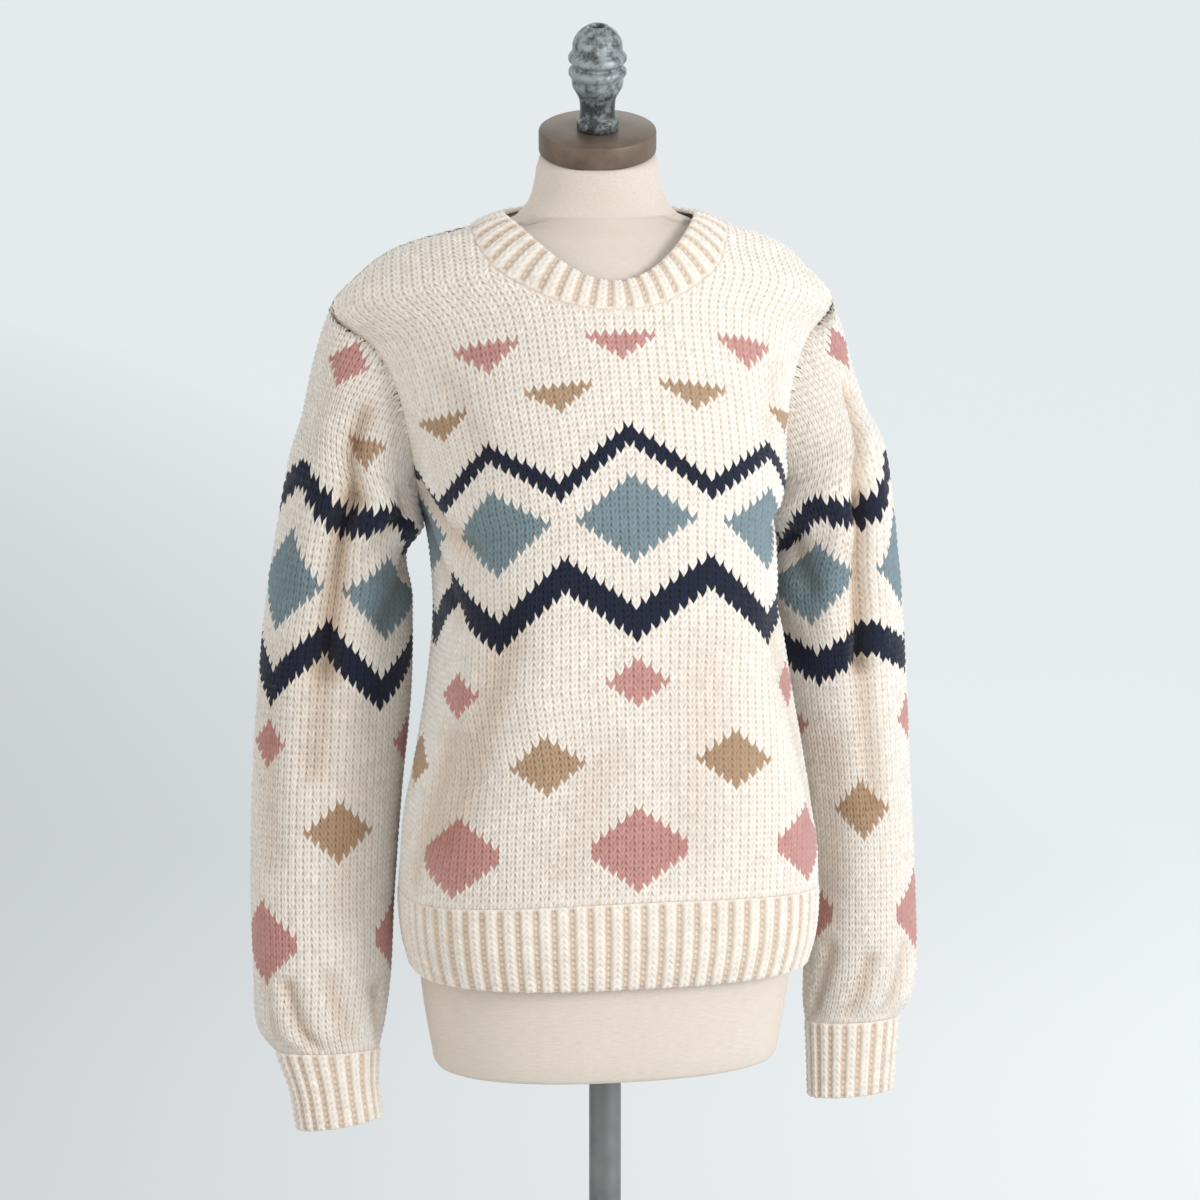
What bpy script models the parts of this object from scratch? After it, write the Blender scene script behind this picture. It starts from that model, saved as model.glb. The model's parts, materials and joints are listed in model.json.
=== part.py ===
"""Hand-knit crew-neck sweater worn on a limbless dress form, standing on its pole and base.

Sizes in the tables are millimetres; the meshes are made in metres, +Z up.
The wearer faces -Y, and left and right are the wearer's, so the right sleeve is at -X.
The tables measure from the garment's own middle. The finished pieces are moved so that the
origin is the middle of the base's underside, on the floor.

A knitted piece is a flat piece: "across" runs along a row of stitches from the piece's middle
line, "up" runs along a column of stitches. Every flat outline is filled with triangles, laid
on the garment's worn form, and thickened inwards. Neighbours share their seam's points.
"""
import math

import bmesh
import bpy
import numpy as np
from mathutils import Vector
from mathutils.geometry import delaunay_2d_cdt

MM = 0.001

WALL = 4.0
SEAM_GAP = 0.36
SEAM_SENSE = (0.42, 0.18, 0.88)
DIRECTION_STEPS = 80
CELL = 28.0
FINE_CELL = 15.0
FINE_ABOVE = 528.0
PIT_REACH = 46.0
RIB_RAISE = 1.3
RIB_PROFILE = (0.0, 1.0, 1.0, 0.0)

CREAM = (0.87, 0.82, 0.74)
LINEN = (0.72, 0.65, 0.57)
BROWN = (0.17, 0.13, 0.10)
IRON = (0.16, 0.17, 0.18)


class Table:
    """Rows of named columns, read at any place along the first column by a smooth curve."""

    def __init__(self, names, rows):
        self.names = names.split()
        self.grid = np.array(rows, float)
        self.key = self.grid[:, 0]

    def at(self, name, place):
        """One column's value at a place, along a cubic that keeps to the rows' own slopes."""
        key = self.key
        value = self.grid[:, self.names.index(name)]
        step = np.diff(key)
        rise = np.diff(value) / step
        slope = np.empty(len(key))
        slope[0], slope[-1] = rise[0], rise[-1]
        slope[1:-1] = (rise[:-1] * step[1:] + rise[1:] * step[:-1]) / (step[:-1] + step[1:])
        turns = rise[:-1] * rise[1:] <= 0.0
        slope[1:-1][turns] = 0.0
        place = min(max(place, key[0]), key[-1])
        i = min(int(np.searchsorted(key, place, side="right")) - 1, len(step) - 1)
        t = (place - key[i]) / step[i]
        start = (1 + 2 * t) * (1 - t) ** 2 * value[i] + t * (1 - t) ** 2 * step[i] * slope[i]
        end = t * t * (3 - 2 * t) * value[i + 1] - t * t * (1 - t) * step[i] * slope[i + 1]
        return float(start + end)


# Where the front and back panels meet other pieces, in millimetres up from the rib
UNDERARM = 334.0
SHOULDER_END = 560.0
NECK_POINT = 630.0
FRONT_NECK_LOW = 510.0
BACK_NECK_LOW = 603.0
NECK_HALF = 108.0
NECK_ROUND = 0.92

# The worn body as level sections: heights, half width, and how far it reaches front and back.
# "gap" is how far the armhole's edge lies in front of or behind the side of the section.
BODY = Table(
    "up flat z_front z_side z_back x_mid half y_front y_side y_back sq_front sq_back gap_front gap_back",
    (
        (0, 247, 866, 857, 850, 1, 182, -164, -40, 84, 2.70, 2.4, 0, 0),
        (64, 247, 930, 917, 912, 1, 178, -165, -40, 86, 2.80, 2.4, 0, 0),
        (134, 247, 999, 983, 978, 2, 165, -161, -36, 84, 3.00, 2.4, 0, 0),
        (204, 247, 1069, 1050, 1044, 2, 153, -156, -28, 86, 3.05, 2.4, 0, 0),
        (269, 247, 1134, 1112, 1107, 1, 147, -152, -16, 94, 3.00, 2.2, 0, 0),
        (334, 247, 1200, 1172, 1170, -1, 151, -147, 2, 103, 3.00, 2.15, 0, 0),
        (380, 238, 1244, 1212, 1216, -1, 161, -139, 16, 109, 2.85, 2.2, 29, 30),
        (429, 235, 1290, 1250, 1264, -1, 169, -122, 29, 112, 2.60, 2.3, 40, 38),
        (479, 236, 1334, 1288, 1312, -1, 181, -103, 39, 110, 2.25, 2.1, 41, 37),
        (520, 239, 1371, 1321, 1351, -1, 200, -86, 46, 105, 1.90, 1.9, 31, 27),
        (560, 243, 1405, 1355, 1389, -1, 223, -66, 50, 98, 1.65, 1.8, 0, 0),
        (582, 219, 1419, 1382, 1409, -1, 201, -54, 48, 91, 1.65, 1.8, 0, 0),
        (603, 186, 1432, 1405, 1424, 0, 173, -44, 38, 80, 1.70, 1.8, 0, 0),
        (630, 108, 1446, 1429, 1438, 0, 107, -26, -8, 24, 1.90, 1.9, 0, 0),
    ),
)
DROOP = 2.2

# A sleeve as rings up from its cuff, the inner side to the body. The cap's rows, above the
# underarm, run from the front edge of the armhole over the outer side to the back edge.
CAP = 462.0
CAP_TOP = 600.0
SLEEVE_NAMES = "up flat z_out z_in x_out x_in y_mid front back turn"
SLEEVES = {
    "right": Table(
        SLEEVE_NAMES,
        (
            (0, 160, 716, 716, 288, 197, -14, 24, 24, 180),
            (22, 163, 733, 736, 301, 192, -11, 33, 34, 180),
            (60, 166, 772, 774, 305, 186, -6, 40, 42, 180),
            (130, 170, 842, 844, 305, 180, 6, 45, 47, 180),
            (220, 176, 935, 935, 301, 170, 22, 48, 50, 180),
            (310, 184, 1030, 1024, 293, 159, 34, 50, 52, 180),
            (390, 192, 1122, 1102, 282, 157, 37, 52, 54, 180),
            (436, 197, 1184, 1145, 272, 164, 31, 53, 55, 180),
            (462, 200, 1226, 1172, 265, 150, 26, 54, 56, 180),
            (500, 172, 1262, 1205, 252, 157, 38, 54, 46, 128),
            (545, 118, 1305, 1260, 242, 167, 45, 50, 40, 98),
            (580, 58, 1340, 1318, 233, 196, 49, 34, 28, 90),
            (600, 2, 1359, 1359, 227, 227, 50, 4, 4, 90),
        ),
    ),
    "left": Table(
        SLEEVE_NAMES,
        (
            (0, 160, 719, 718, 272, 187, -12, 24, 24, 180),
            (22, 163, 735, 736, 284, 186, -9, 33, 35, 180),
            (60, 166, 774, 775, 290, 188, -4, 42, 46, 180),
            (130, 170, 844, 845, 290, 188, 8, 50, 54, 180),
            (220, 176, 937, 936, 289, 182, 24, 54, 57, 180),
            (310, 184, 1032, 1026, 287, 168, 35, 54, 56, 180),
            (390, 192, 1122, 1102, 281, 158, 38, 54, 56, 180),
            (436, 197, 1184, 1144, 272, 166, 31, 54, 56, 180),
            (462, 200, 1226, 1172, 264, 149, 26, 54, 56, 180),
            (500, 172, 1262, 1205, 249, 151, 38, 54, 46, 128),
            (545, 118, 1305, 1260, 236, 159, 45, 50, 40, 98),
            (580, 58, 1340, 1318, 226, 188, 49, 34, 28, 90),
            (600, 2, 1359, 1359, 219, 219, 50, 4, 4, 90),
        ),
    ),
}

# The rib below the body and the rib at each wrist: how far the tube's sections go
HEM_RIB = Table(
    "down z_front z_side z_back half y_front y_side y_back",
    (
        (0, 866, 857, 850, 182, -164, -40, 84),
        (26, 840, 833, 828, 181, -165, -41, 84),
        (52, 814, 811, 806, 178, -163, -42, 82),
        (76, 789, 789, 785, 172, -157, -42, 77),
    ),
)
CUFFS = {
    "right": Table(
        "down z_out z_in x_out x_in y_mid front back",
        (
            (0, 716, 716, 288, 197, -14, 24, 24),
            (30, 683, 688, 277, 199, -17, 21, 20),
            (68, 646, 655, 271, 196, -22, 19, 18),
        ),
    ),
    "left": Table(
        "down z_out z_in x_out x_in y_mid front back",
        (
            (0, 719, 718, 272, 187, -12, 24, 24),
            (30, 688, 687, 269, 188, -15, 21, 20),
            (68, 653, 650, 265, 188, -20, 19, 18),
        ),
    ),
}

# The neckband's open edge
BAND_HALF = 82.0
BAND_FRONT = -76.0
BAND_MID = -9.0
BAND_BACK = 59.0
BAND_Z_FRONT = 1386.0
BAND_Z_SIDE = 1438.0
BAND_Z_BACK = 1442.0
BAND_CROWN = 2.5

HEM_STEPS = 33
SIDE_STEPS = 13
ARM_STEPS = 13
SHOULDER_STEPS = 6
FRONT_NECK_STEPS = 18
BACK_NECK_STEPS = 14
CUFF_STEPS = 16
SLEEVE_SIDE_STEPS = 19

# The largest folds: which piece, the line's two ends (across, up), half breadth and depth
FOLDS = {
    "front": (
        (-232, 372, -150, 318, 15, -7.0),
        (-240, 338, -176, 262, 14, -5.0),
        (232, 372, 158, 322, 15, -7.0),
        (240, 340, 186, 258, 14, -5.0),
        (-120, 205, -176, 60, 24, -4.0),
        (150, 235, 196, 75, 22, -4.0),
    ),
    "back": (
        (-232, 372, -150, 308, 15, -7.0),
        (232, 372, 150, 312, 15, -7.0),
        (-240, 330, -160, 240, 16, -5.0),
        (240, 330, 168, 236, 16, -5.0),
        (-60, 300, -40, 90, 26, -4.0),
        (70, 270, 92, 70, 26, -4.0),
    ),
    "sleeve_right": (
        (-60, 535, -52, 330, 15, -8.0),
        (-128, 470, -86, 402, 14, -7.0),
        (50, 520, 46, 350, 15, -6.0),
        (-44, 66, 20, 24, 13, -8.0),
        (70, 70, 110, 22, 12, -7.0),
        (-110, 60, -140, 14, 11, -6.0),
    ),
    "sleeve_left": (
        (44, 520, 40, 330, 14, -9.0),
        (120, 470, 82, 400, 14, -7.0),
        (-46, 520, -48, 360, 15, -6.0),
        (-40, 62, -90, 24, 13, -7.0),
        (52, 70, 104, 26, 12, -7.0),
    ),
}

# The form's own sections below the bust, and the ones of its neck
FORM_BELOW = Table(
    "z half y_front y_side y_back sq",
    (
        (700, 150, -128, -34, 66, 2.3),
        (760, 160, -140, -35, 70, 2.3),
        (850, 166, -148, -36, 72, 2.3),
        (940, 160, -142, -34, 72, 2.3),
        (1020, 136, -122, -28, 66, 2.2),
        (1090, 122, -116, -20, 64, 2.2),
        (1140, 130, -134, -10, 76, 2.2),
    ),
)
FORM_NECK = Table(
    "z half y_front y_side y_back sq",
    (
        (1436, 70, -46, 0, 44, 2.0),
        (1447, 60, -46, 0, 44, 2.0),
        (1462, 55, -48, -1, 44, 2.0),
        (1486, 52, -51, -3, 46, 2.0),
    ),
)
FORM_BUST = 325.0
FORM_TOP = 628.0
FORM_EASE = Table(
    "up side middle",
    (
        (320, 14, 5),
        (400, 14, 7),
        (480, 13, 8),
        (540, 6, 6),
        (570, 3.0, 5),
        (603, 2.0, 4.4),
        (630, 3.4, 4.4),
    ),
)
FORM_PLATE = 176.0
FORM_RISE = 0.12
FORM_SIDES = 36
FORM_UPPER_RINGS = 15

CAP_TILT = 17.0
CAP_TURN = -12.0
CAP_RADIUS = 50.5
CAP_THICK = 20.0
CAP_Y = -2.0
CAP_Z = 1500.0
CAP_EDGE = 1.6
FORM_SEAT = 0.35
NECK_TOP = 0.94

FINIAL = (
    (0.0, 17.5),
    (9.0, 17.5),
    (12.0, 14.6),
    (28.0, 15.0),
    (38.0, 21.3),
    (47.0, 22.4),
    (51.0, 24.6),
    (55.0, 24.2),
    (58.0, 21.6),
    (62.0, 24.8),
    (68.0, 24.4),
    (76.0, 21.0),
    (84.0, 17.5),
    (89.0, 13.0),
    (92.0, 8.6),
    (91.0, 6.3),
    (66.0, 6.2),
)

POLE_RADIUS = 14.0
BASE_RADIUS = 165.0
BASE_THICK = 16.0
BASE_HUB = 30.0
BASE_HUB_TALL = 55.0
STAND_Y = -34.0
PLUG_RADIUS = 32.0


def section(half, y_near, y_side, square, turns):
    """Points of a quarter section from its middle (0 degrees) towards its side (90 degrees)."""
    angle = np.radians(turns)
    reach = abs(y_side - y_near)
    sine = np.abs(np.sin(angle))
    cosine = np.abs(np.cos(angle))
    radius = ((sine / half) ** square + (cosine / reach) ** square) ** (-1.0 / square)
    return radius * sine, radius * cosine


def panel_row(panel, up):
    """Half a row of the front or back, from the middle to its edge, as evenly spaced points."""
    half = BODY.at("half", up)
    y_side = BODY.at("y_side", up)
    z_side = BODY.at("z_side", up)
    y_near = BODY.at("y_" + panel, up)
    z_near = BODY.at("z_" + panel, up)
    gap = max(BODY.at("gap_" + panel, up), 0.0)
    if up <= UNDERARM or up >= SHOULDER_END:
        gap = 0.0
    across, depth = section(half, y_near, y_side, BODY.at("sq_" + panel, up), np.linspace(0, 90, 73))
    across[0] = 0.0
    depth[-1] = 0.0
    if gap > 0.0:
        edge = np.interp(gap, depth[::-1], np.arange(len(depth))[::-1].astype(float))
        kept = np.append(np.arange(math.ceil(edge)), edge)
        count = np.arange(len(depth)).astype(float)
        across, depth = np.interp(kept, count, across), np.interp(kept, count, depth)
    facing = -1.0 if panel == "front" else 1.0
    x = across
    y = y_side + facing * depth
    z = z_side + (z_near - z_side) * (1.0 - (across / half) ** DROOP)
    length = np.append(0.0, np.cumsum(np.sqrt(np.diff(x) ** 2 + np.diff(y) ** 2 + np.diff(z) ** 2)))
    return length / length[-1], x, y, z


ROWS = {}


def body_point(panel, share, up):
    """A point of the worn front or back; share runs from -1 at its right edge to 1 at its left."""
    key = (panel, round(up, 6))
    if key not in ROWS:
        ROWS[key] = panel_row(panel, up)
    places, x, y, z = ROWS[key]
    out = min(abs(share), 1.0)
    side = math.copysign(1.0, share)
    point = [np.interp(out, places, values) for values in (x, y, z)]
    return np.array([BODY.at("x_mid", up) + side * point[0], point[1], point[2]])


def hidden_lift(folds, across, up):
    """How far the folds move a point along its outward direction."""
    total = 0.0
    for x0, y0, x1, y1, breadth, depth in folds:
        dx, dy = x1 - x0, y1 - y0
        t = ((across - x0) * dx + (up - y0) * dy) / (dx * dx + dy * dy)
        t = min(max(t, 0.0), 1.0)
        away = math.hypot(across - x0 - t * dx, up - y0 - t * dy)
        total += depth * math.exp(-((away / breadth) ** 2))
    return total


def armhole_rows():
    """The rows up the armhole at which the panels and the sleeve share their seam's points."""
    return np.linspace(UNDERARM, SHOULDER_END, ARM_STEPS + 1)


def sleeve_row(side, up):
    """Half rings of a sleeve row: its outer point, and its edge points on the front and back."""
    table = SLEEVES[side]
    sign = -1.0 if side == "right" else 1.0
    outer = np.array([sign * table.at("x_out", up), table.at("y_mid", up), table.at("z_out", up)])
    if up <= CAP:
        inner = np.array([sign * table.at("x_in", up), table.at("y_mid", up), table.at("z_in", up)])
        blend = max(0.0, 1.0 - (CAP - up) / 70.0)
        pit = body_point("front", sign, UNDERARM)
        table_pit = np.array([sign * table.at("x_in", CAP), table.at("y_mid", CAP), table.at("z_in", CAP)])
        inner = inner + (pit - table_pit) * blend * blend * (3 - 2 * blend)
        return outer, inner, inner
    part = (up - CAP) / (CAP_TOP - CAP)
    height = UNDERARM + (SHOULDER_END - UNDERARM) * part
    tip = body_point("front", sign, SHOULDER_END)
    table_tip = np.array([sign * table.at("x_out", CAP_TOP), table.at("y_mid", CAP_TOP), table.at("z_out", CAP_TOP)])
    outer = outer + (tip - table_tip) * part ** 3
    return outer, body_point("front", sign, height), body_point("back", sign, height)


def sleeve_point(side, share, up):
    """A point of the worn sleeve; share runs from -1 at its front edge to 1 at its back edge."""
    table = SLEEVES[side]
    outer, front, back = sleeve_row(side, up)
    edge = front if share < 0 else back
    facing = -1.0 if share < 0 else 1.0
    part = min(abs(share), 1.0)
    last = math.radians(table.at("turn", up))
    reach = table.at("front" if share < 0 else "back", up)
    turn = part * last
    swing = (1 - math.cos(turn)) / (1 - math.cos(last))
    x = outer[0] + (edge[0] - outer[0]) * swing
    z = outer[2] + (edge[2] - outer[2]) * swing
    y_edge = outer[1] + facing * reach * math.sin(last)
    y = outer[1] + facing * reach * math.sin(turn) + (edge[1] - y_edge) * part * part
    return np.array([x, y, z])


def ring_point(table, down, angle, sign):
    """A point of a wrist's ring; 0 is its outer side and 180 its inner, the front below 0."""
    turn = math.radians(angle)
    swing = (1 - math.cos(turn)) / 2
    x = table.at("x_out", down) + (table.at("x_in", down) - table.at("x_out", down)) * swing
    z = table.at("z_out", down) + (table.at("z_in", down) - table.at("z_out", down)) * swing
    reach = table.at("front" if angle < 0 else "back", down)
    return np.array([sign * x, table.at("y_mid", down) + reach * math.sin(turn), z])


def neck_curve(low, steps):
    """The flat line of a panel's neck, from its right neck point to its left."""
    turns = np.linspace(0, math.pi, steps + 1)
    across = -NECK_HALF * np.sign(np.cos(turns)) * np.abs(np.cos(turns)) ** NECK_ROUND
    drop = np.abs(np.sin(turns)) ** NECK_ROUND
    return [(float(a), NECK_POINT - (NECK_POINT - low) * float(d)) for a, d in zip(across, drop)]


def panel_outline(low, neck_steps):
    """The flat outline of the front or back: up its left side, over the neck, down its right."""
    side = np.linspace(0, UNDERARM, SIDE_STEPS + 1)
    shoulder = np.linspace(SHOULDER_END, NECK_POINT, SHOULDER_STEPS + 1)
    rows = np.concatenate([side, armhole_rows()[1:], shoulder[1:]])
    left = [(BODY.at("flat", up), float(up)) for up in rows]
    right = [(-across, up) for across, up in left]
    half = BODY.at("flat", 0)
    hem = [(float(a), 0.0) for a in np.linspace(-half, half, HEM_STEPS + 1)][1:-1]
    return hem + left[:-1] + neck_curve(low, neck_steps)[::-1] + right[:-1][::-1]


def sleeve_outline(side):
    """The flat outline of a sleeve: cuff, back edge, cap and front edge."""
    table = SLEEVES[side]
    length = np.linspace(0, CAP, SLEEVE_SIDE_STEPS + 1)
    cap = np.linspace(CAP, CAP_TOP, ARM_STEPS + 1)
    back = [(table.at("flat", up), float(up)) for up in np.concatenate([length, cap[1:-1]])]
    front = [(-across, up) for across, up in back]
    half = table.at("flat", 0)
    cuff = [(float(a), 0.0) for a in np.linspace(-half, half, CUFF_STEPS + 1)][1:-1]
    return cuff + back + [(0.0, CAP_TOP)] + front[::-1]


def inner_grid(high, cell, wanted):
    """Staggered rows of points a cell apart, at the places where they are wanted."""
    found = []
    for j, up in enumerate(np.arange(cell * 0.8, high[1], cell * 0.87)):
        first = -cell * math.ceil(high[0] / cell) + (j % 2) * cell / 2
        found += [(across, up, cell) for across in np.arange(first, high[0], cell) if wanted(across, up)]
    return found


def fill_outline(outline, fine):
    """Triangles that fill a flat outline, with inner points closer together where it is fine."""
    edge = np.array(outline)
    high = edge.max(0)
    inner = inner_grid(high, CELL, lambda across, up: not fine(across, up))
    inner += inner_grid(high, FINE_CELL, fine)
    start, end = edge, np.roll(edge, -1, 0)
    run = end - start
    kept = []
    for across, up, cell in inner:
        point = np.array([across, up])
        t = np.clip(((point - start) * run).sum(1) / (run ** 2).sum(1), 0, 1)
        away = np.hypot(*(start + run * t[:, None] - point).T).min()
        above = (start[:, 1] > point[1]) != (end[:, 1] > point[1])
        cut = start[:, 0] + (point[1] - start[:, 1]) * run[:, 0] / np.where(run[:, 1] == 0, 1, run[:, 1])
        if away > cell * 0.52 and np.sum(above & (cut > across)) % 2:
            kept.append((across, up))
    points = [Vector(p) for p in outline + kept]
    loop = [(i, (i + 1) % len(outline)) for i in range(len(outline))]
    found = delaunay_2d_cdt(points, loop, [], 1, 1e-4)
    return [tuple(v) for v in found[0]], [tuple(f) for f in found[2]]


class Skin:
    """An outer surface: its points, triangles facing out, and each point's flat place."""

    def __init__(self, name, points, faces, flat=None):
        self.name = name
        self.points = np.array(points, float)
        self.faces = np.array(faces, int)
        self.flat = flat
        self.normals = np.zeros_like(self.points)


def face_out(skin, middle):
    """Turn the triangles so that they face away from the middle line of the garment."""
    a, b, c = (skin.points[skin.faces[:, k]] for k in range(3))
    out = np.cross(b - a, c - a)
    away = (a + b + c) / 3 - np.array(middle)
    if float((out * away).sum()) < 0:
        skin.faces = skin.faces[:, ::-1]
    return skin


def panel_skin(panel):
    low = FRONT_NECK_LOW if panel == "front" else BACK_NECK_LOW
    steps = FRONT_NECK_STEPS if panel == "front" else BACK_NECK_STEPS
    pit = BODY.at("flat", UNDERARM)

    def fine(across, up):
        return up > FINE_ABOVE or math.hypot(abs(across) - pit, up - UNDERARM) < PIT_REACH

    flat, faces = fill_outline(panel_outline(low, steps), fine)
    points = [body_point(panel, a / BODY.at("flat", u), u) for a, u in flat]
    return face_out(Skin(panel, points, faces, flat), (0, -20, 1100))


def sleeve_skin(side):
    table = SLEEVES[side]
    pit = table.at("flat", CAP)

    def fine(across, up):
        return math.hypot(abs(across) - pit, up - CAP) < PIT_REACH

    flat, faces = fill_outline(sleeve_outline(side), fine)
    points = [sleeve_point(side, a / table.at("flat", u), u) for a, u in flat]
    sign = -1 if side == "right" else 1
    skin = face_out(Skin("sleeve_" + side, points, faces, flat), (sign * 225, 15, 1000))
    return weld(skin)


def weld(skin):
    """Join the points that lie in the same place, such as along a sleeve's inner seam."""
    keys = {}
    index = []
    kept = []
    for i, point in enumerate(skin.points):
        key = tuple(np.round(point, 3))
        if key not in keys:
            keys[key] = len(kept)
            kept.append(i)
        index.append(keys[key])
    faces = np.array(index)[skin.faces]
    whole = (faces[:, 0] != faces[:, 1]) & (faces[:, 1] != faces[:, 2]) & (faces[:, 0] != faces[:, 2])
    flat = [skin.flat[i] for i in kept]
    return Skin(skin.name, skin.points[kept], faces[whole], flat)


def strip_skin(name, rows, closed):
    """A surface through rows of points, each row the same number long."""
    rows = np.array(rows, float)
    count, width = rows.shape[:2]
    faces = []
    for j in range(count - 1):
        for i in range(width if closed else width - 1):
            k = (i + 1) % width
            a, b, c, d = j * width + i, j * width + k, (j + 1) * width + k, (j + 1) * width + i
            faces += [(a, b, c), (a, c, d)]
    return Skin(name, rows.reshape(-1, 3), faces)


def hem_rows(panel, count):
    """Rows of the body's rib, which start on the panel's own lower edge."""
    rows = []
    half = BODY.at("flat", 0)
    for down in np.linspace(0, HEM_RIB.key[-1], count):
        row = []
        scale = HEM_RIB.at("half", down) / HEM_RIB.at("half", 0)
        for across in np.linspace(-half, half, HEM_STEPS + 1):
            point = body_point(panel, across / half, 0)
            mid, side_y = BODY.at("x_mid", 0), BODY.at("y_side", 0)
            reach = (HEM_RIB.at("y_" + panel, down) - HEM_RIB.at("y_side", down)) / (BODY.at("y_" + panel, 0) - side_y)
            out = min(abs(point[0] - mid) / BODY.at("half", 0), 1.0)
            z_side, z_near = HEM_RIB.at("z_side", down), HEM_RIB.at("z_" + panel, down)
            row.append((
                mid + (point[0] - mid) * scale,
                HEM_RIB.at("y_side", down) + (point[1] - side_y) * reach,
                z_side + (z_near - z_side) * (1.0 - out ** DROOP),
            ))
        rows.append(row)
    return rows


def cuff_rows(side, count):
    """Rings of a wrist's rib, which start on the sleeve's own lower edge."""
    sign = -1.0 if side == "right" else 1.0
    angles = np.linspace(-180, 180, CUFF_STEPS + 1)[:-1]
    table = CUFFS[side]
    return [[ring_point(table, down, a, sign) for a in angles] for down in np.linspace(0, table.key[-1], count)]


def neck_loop():
    """The seam's points round the neck: the front from right to left, and the back home."""
    front = [body_point("front", a / BODY.at("flat", u), u) for a, u in neck_curve(FRONT_NECK_LOW, FRONT_NECK_STEPS)]
    back = [body_point("back", a / BODY.at("flat", u), u) for a, u in neck_curve(BACK_NECK_LOW, BACK_NECK_STEPS)]
    return front[:-1] + back[::-1][:-1]


def band_rows(count):
    """Rings of the neckband, from the seam up to its open edge, a little crowned between."""
    seam = neck_loop()
    turns = np.concatenate([
        np.linspace(-180, 0, FRONT_NECK_STEPS + 1)[:-1],
        np.linspace(0, 180, BACK_NECK_STEPS + 1)[:-1],
    ])
    edge = []
    for turn in np.radians(turns):
        near = BAND_FRONT if turn < 0 else BAND_BACK
        tall = BAND_Z_FRONT if turn < 0 else BAND_Z_BACK
        reach = abs(math.sin(turn))
        edge.append((
            BAND_HALF * math.cos(turn),
            BAND_MID + (near - BAND_MID) * reach,
            BAND_Z_SIDE + (tall - BAND_Z_SIDE) * reach ** DROOP,
        ))
    rows = []
    for t in np.linspace(0, 1, count):
        crown = BAND_CROWN * 4 * t * (1 - t)
        rows.append([np.array(a) * (1 - t) + np.array(b) * t + (0, 0, crown) for a, b in zip(seam, edge)])
    return rows


def even_direction(ways):
    """The direction that turns least from the farthest of the directions given."""
    found = np.mean(ways, 0)
    for count in range(DIRECTION_STEPS):
        worst = ways[int(np.argmin(np.dot(ways, found)))]
        found = found / max(np.linalg.norm(found), 1e-6) + worst / (count + 4)
    return found / np.linalg.norm(found)


def share_normals(skins):
    """Give every point its outward direction, evenly between the pieces that meet there."""
    places = {}
    for skin in skins:
        a, b, c = (skin.points[skin.faces[:, k]] for k in range(3))
        across = np.cross(b - a, c - a)
        across = across / np.linalg.norm(across, axis=1)[:, None]
        total = np.zeros_like(skin.points)
        for corner, (p, q, r) in enumerate(((a, b, c), (b, c, a), (c, a, b))):
            one, two = q - p, r - p
            cosine = (one * two).sum(1) / (np.linalg.norm(one, axis=1) * np.linalg.norm(two, axis=1))
            np.add.at(total, skin.faces[:, corner], across * np.arccos(np.clip(cosine, -1, 1))[:, None])
        skin.normals = total / np.linalg.norm(total, axis=1)[:, None]
        for point, normal in zip(skin.points, skin.normals):
            places.setdefault(tuple(np.round(point, 2)), []).append(normal.copy())
    for skin in skins:
        for i, point in enumerate(skin.points):
            ways = places[tuple(np.round(point, 2))]
            if len(ways) > 1:
                skin.normals[i] = even_direction(np.array(ways))


def border_loops(faces):
    """The open edges of a surface, as directed pairs of points."""
    edges = {}
    for a, b, c in faces:
        for pair in ((a, b), (b, c), (c, a)):
            edges[pair] = edges.get(pair, 0) + 1
    return [pair for pair in edges if (pair[1], pair[0]) not in edges]


def draw_back(skin):
    """Move the border's points half a seam gap into the piece, along the surface."""
    pull = {}
    for a, b in border_loops(skin.faces):
        run = skin.points[b] - skin.points[a]
        run = run / np.linalg.norm(run)
        for point in (a, b):
            pull[point] = pull.get(point, 0) + np.cross(skin.normals[point], run)
    for point, way in pull.items():
        size = np.linalg.norm(way)
        if size > 0.2:
            skin.points[point] += way / size * (SEAM_GAP / 2) / max(size / 2, 0.5)


def fold_skin(skin):
    """Press the largest folds into a surface, but not at its seams."""
    border = np.array([skin.points[a] for a, b in border_loops(skin.faces)])
    for i, (across, up) in enumerate(skin.flat):
        away = np.linalg.norm(border - skin.points[i], axis=1).min()
        fade = min(away / 22.0, 1.0)
        skin.points[i] += skin.normals[i] * hidden_lift(FOLDS[skin.name], across, up) * fade


def make_object(name, points, faces, colour, roughness, metallic=0.0, smooth=40.0):
    """A Blender object from points in millimetres, with its own material."""
    mesh = bpy.data.meshes.new(name)
    mesh.from_pydata([Vector(p) * MM for p in points], [], [tuple(int(i) for i in f) for f in faces])
    mesh.update()
    thing = bpy.data.objects.new(name, mesh)
    bpy.context.scene.collection.objects.link(thing)
    finish(thing, colour, roughness, metallic, smooth)
    return thing


def finish(thing, colour, roughness, metallic, smooth):
    material = bpy.data.materials.new(thing.name)
    material.use_nodes = True
    shader = material.node_tree.nodes["Principled BSDF"]
    shader.inputs["Base Color"].default_value = (*colour, 1.0)
    shader.inputs["Roughness"].default_value = roughness
    shader.inputs["Metallic"].default_value = metallic
    thing.data.materials.append(material)
    thing.data.shade_smooth()
    thing.data.set_sharp_from_angle(angle=math.radians(smooth))


def leads(one, other):
    """Which of two neighbouring seam points comes first, the same way round for every piece."""
    return float(np.dot(np.subtract(other, one), SEAM_SENSE)) > 0.0


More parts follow.
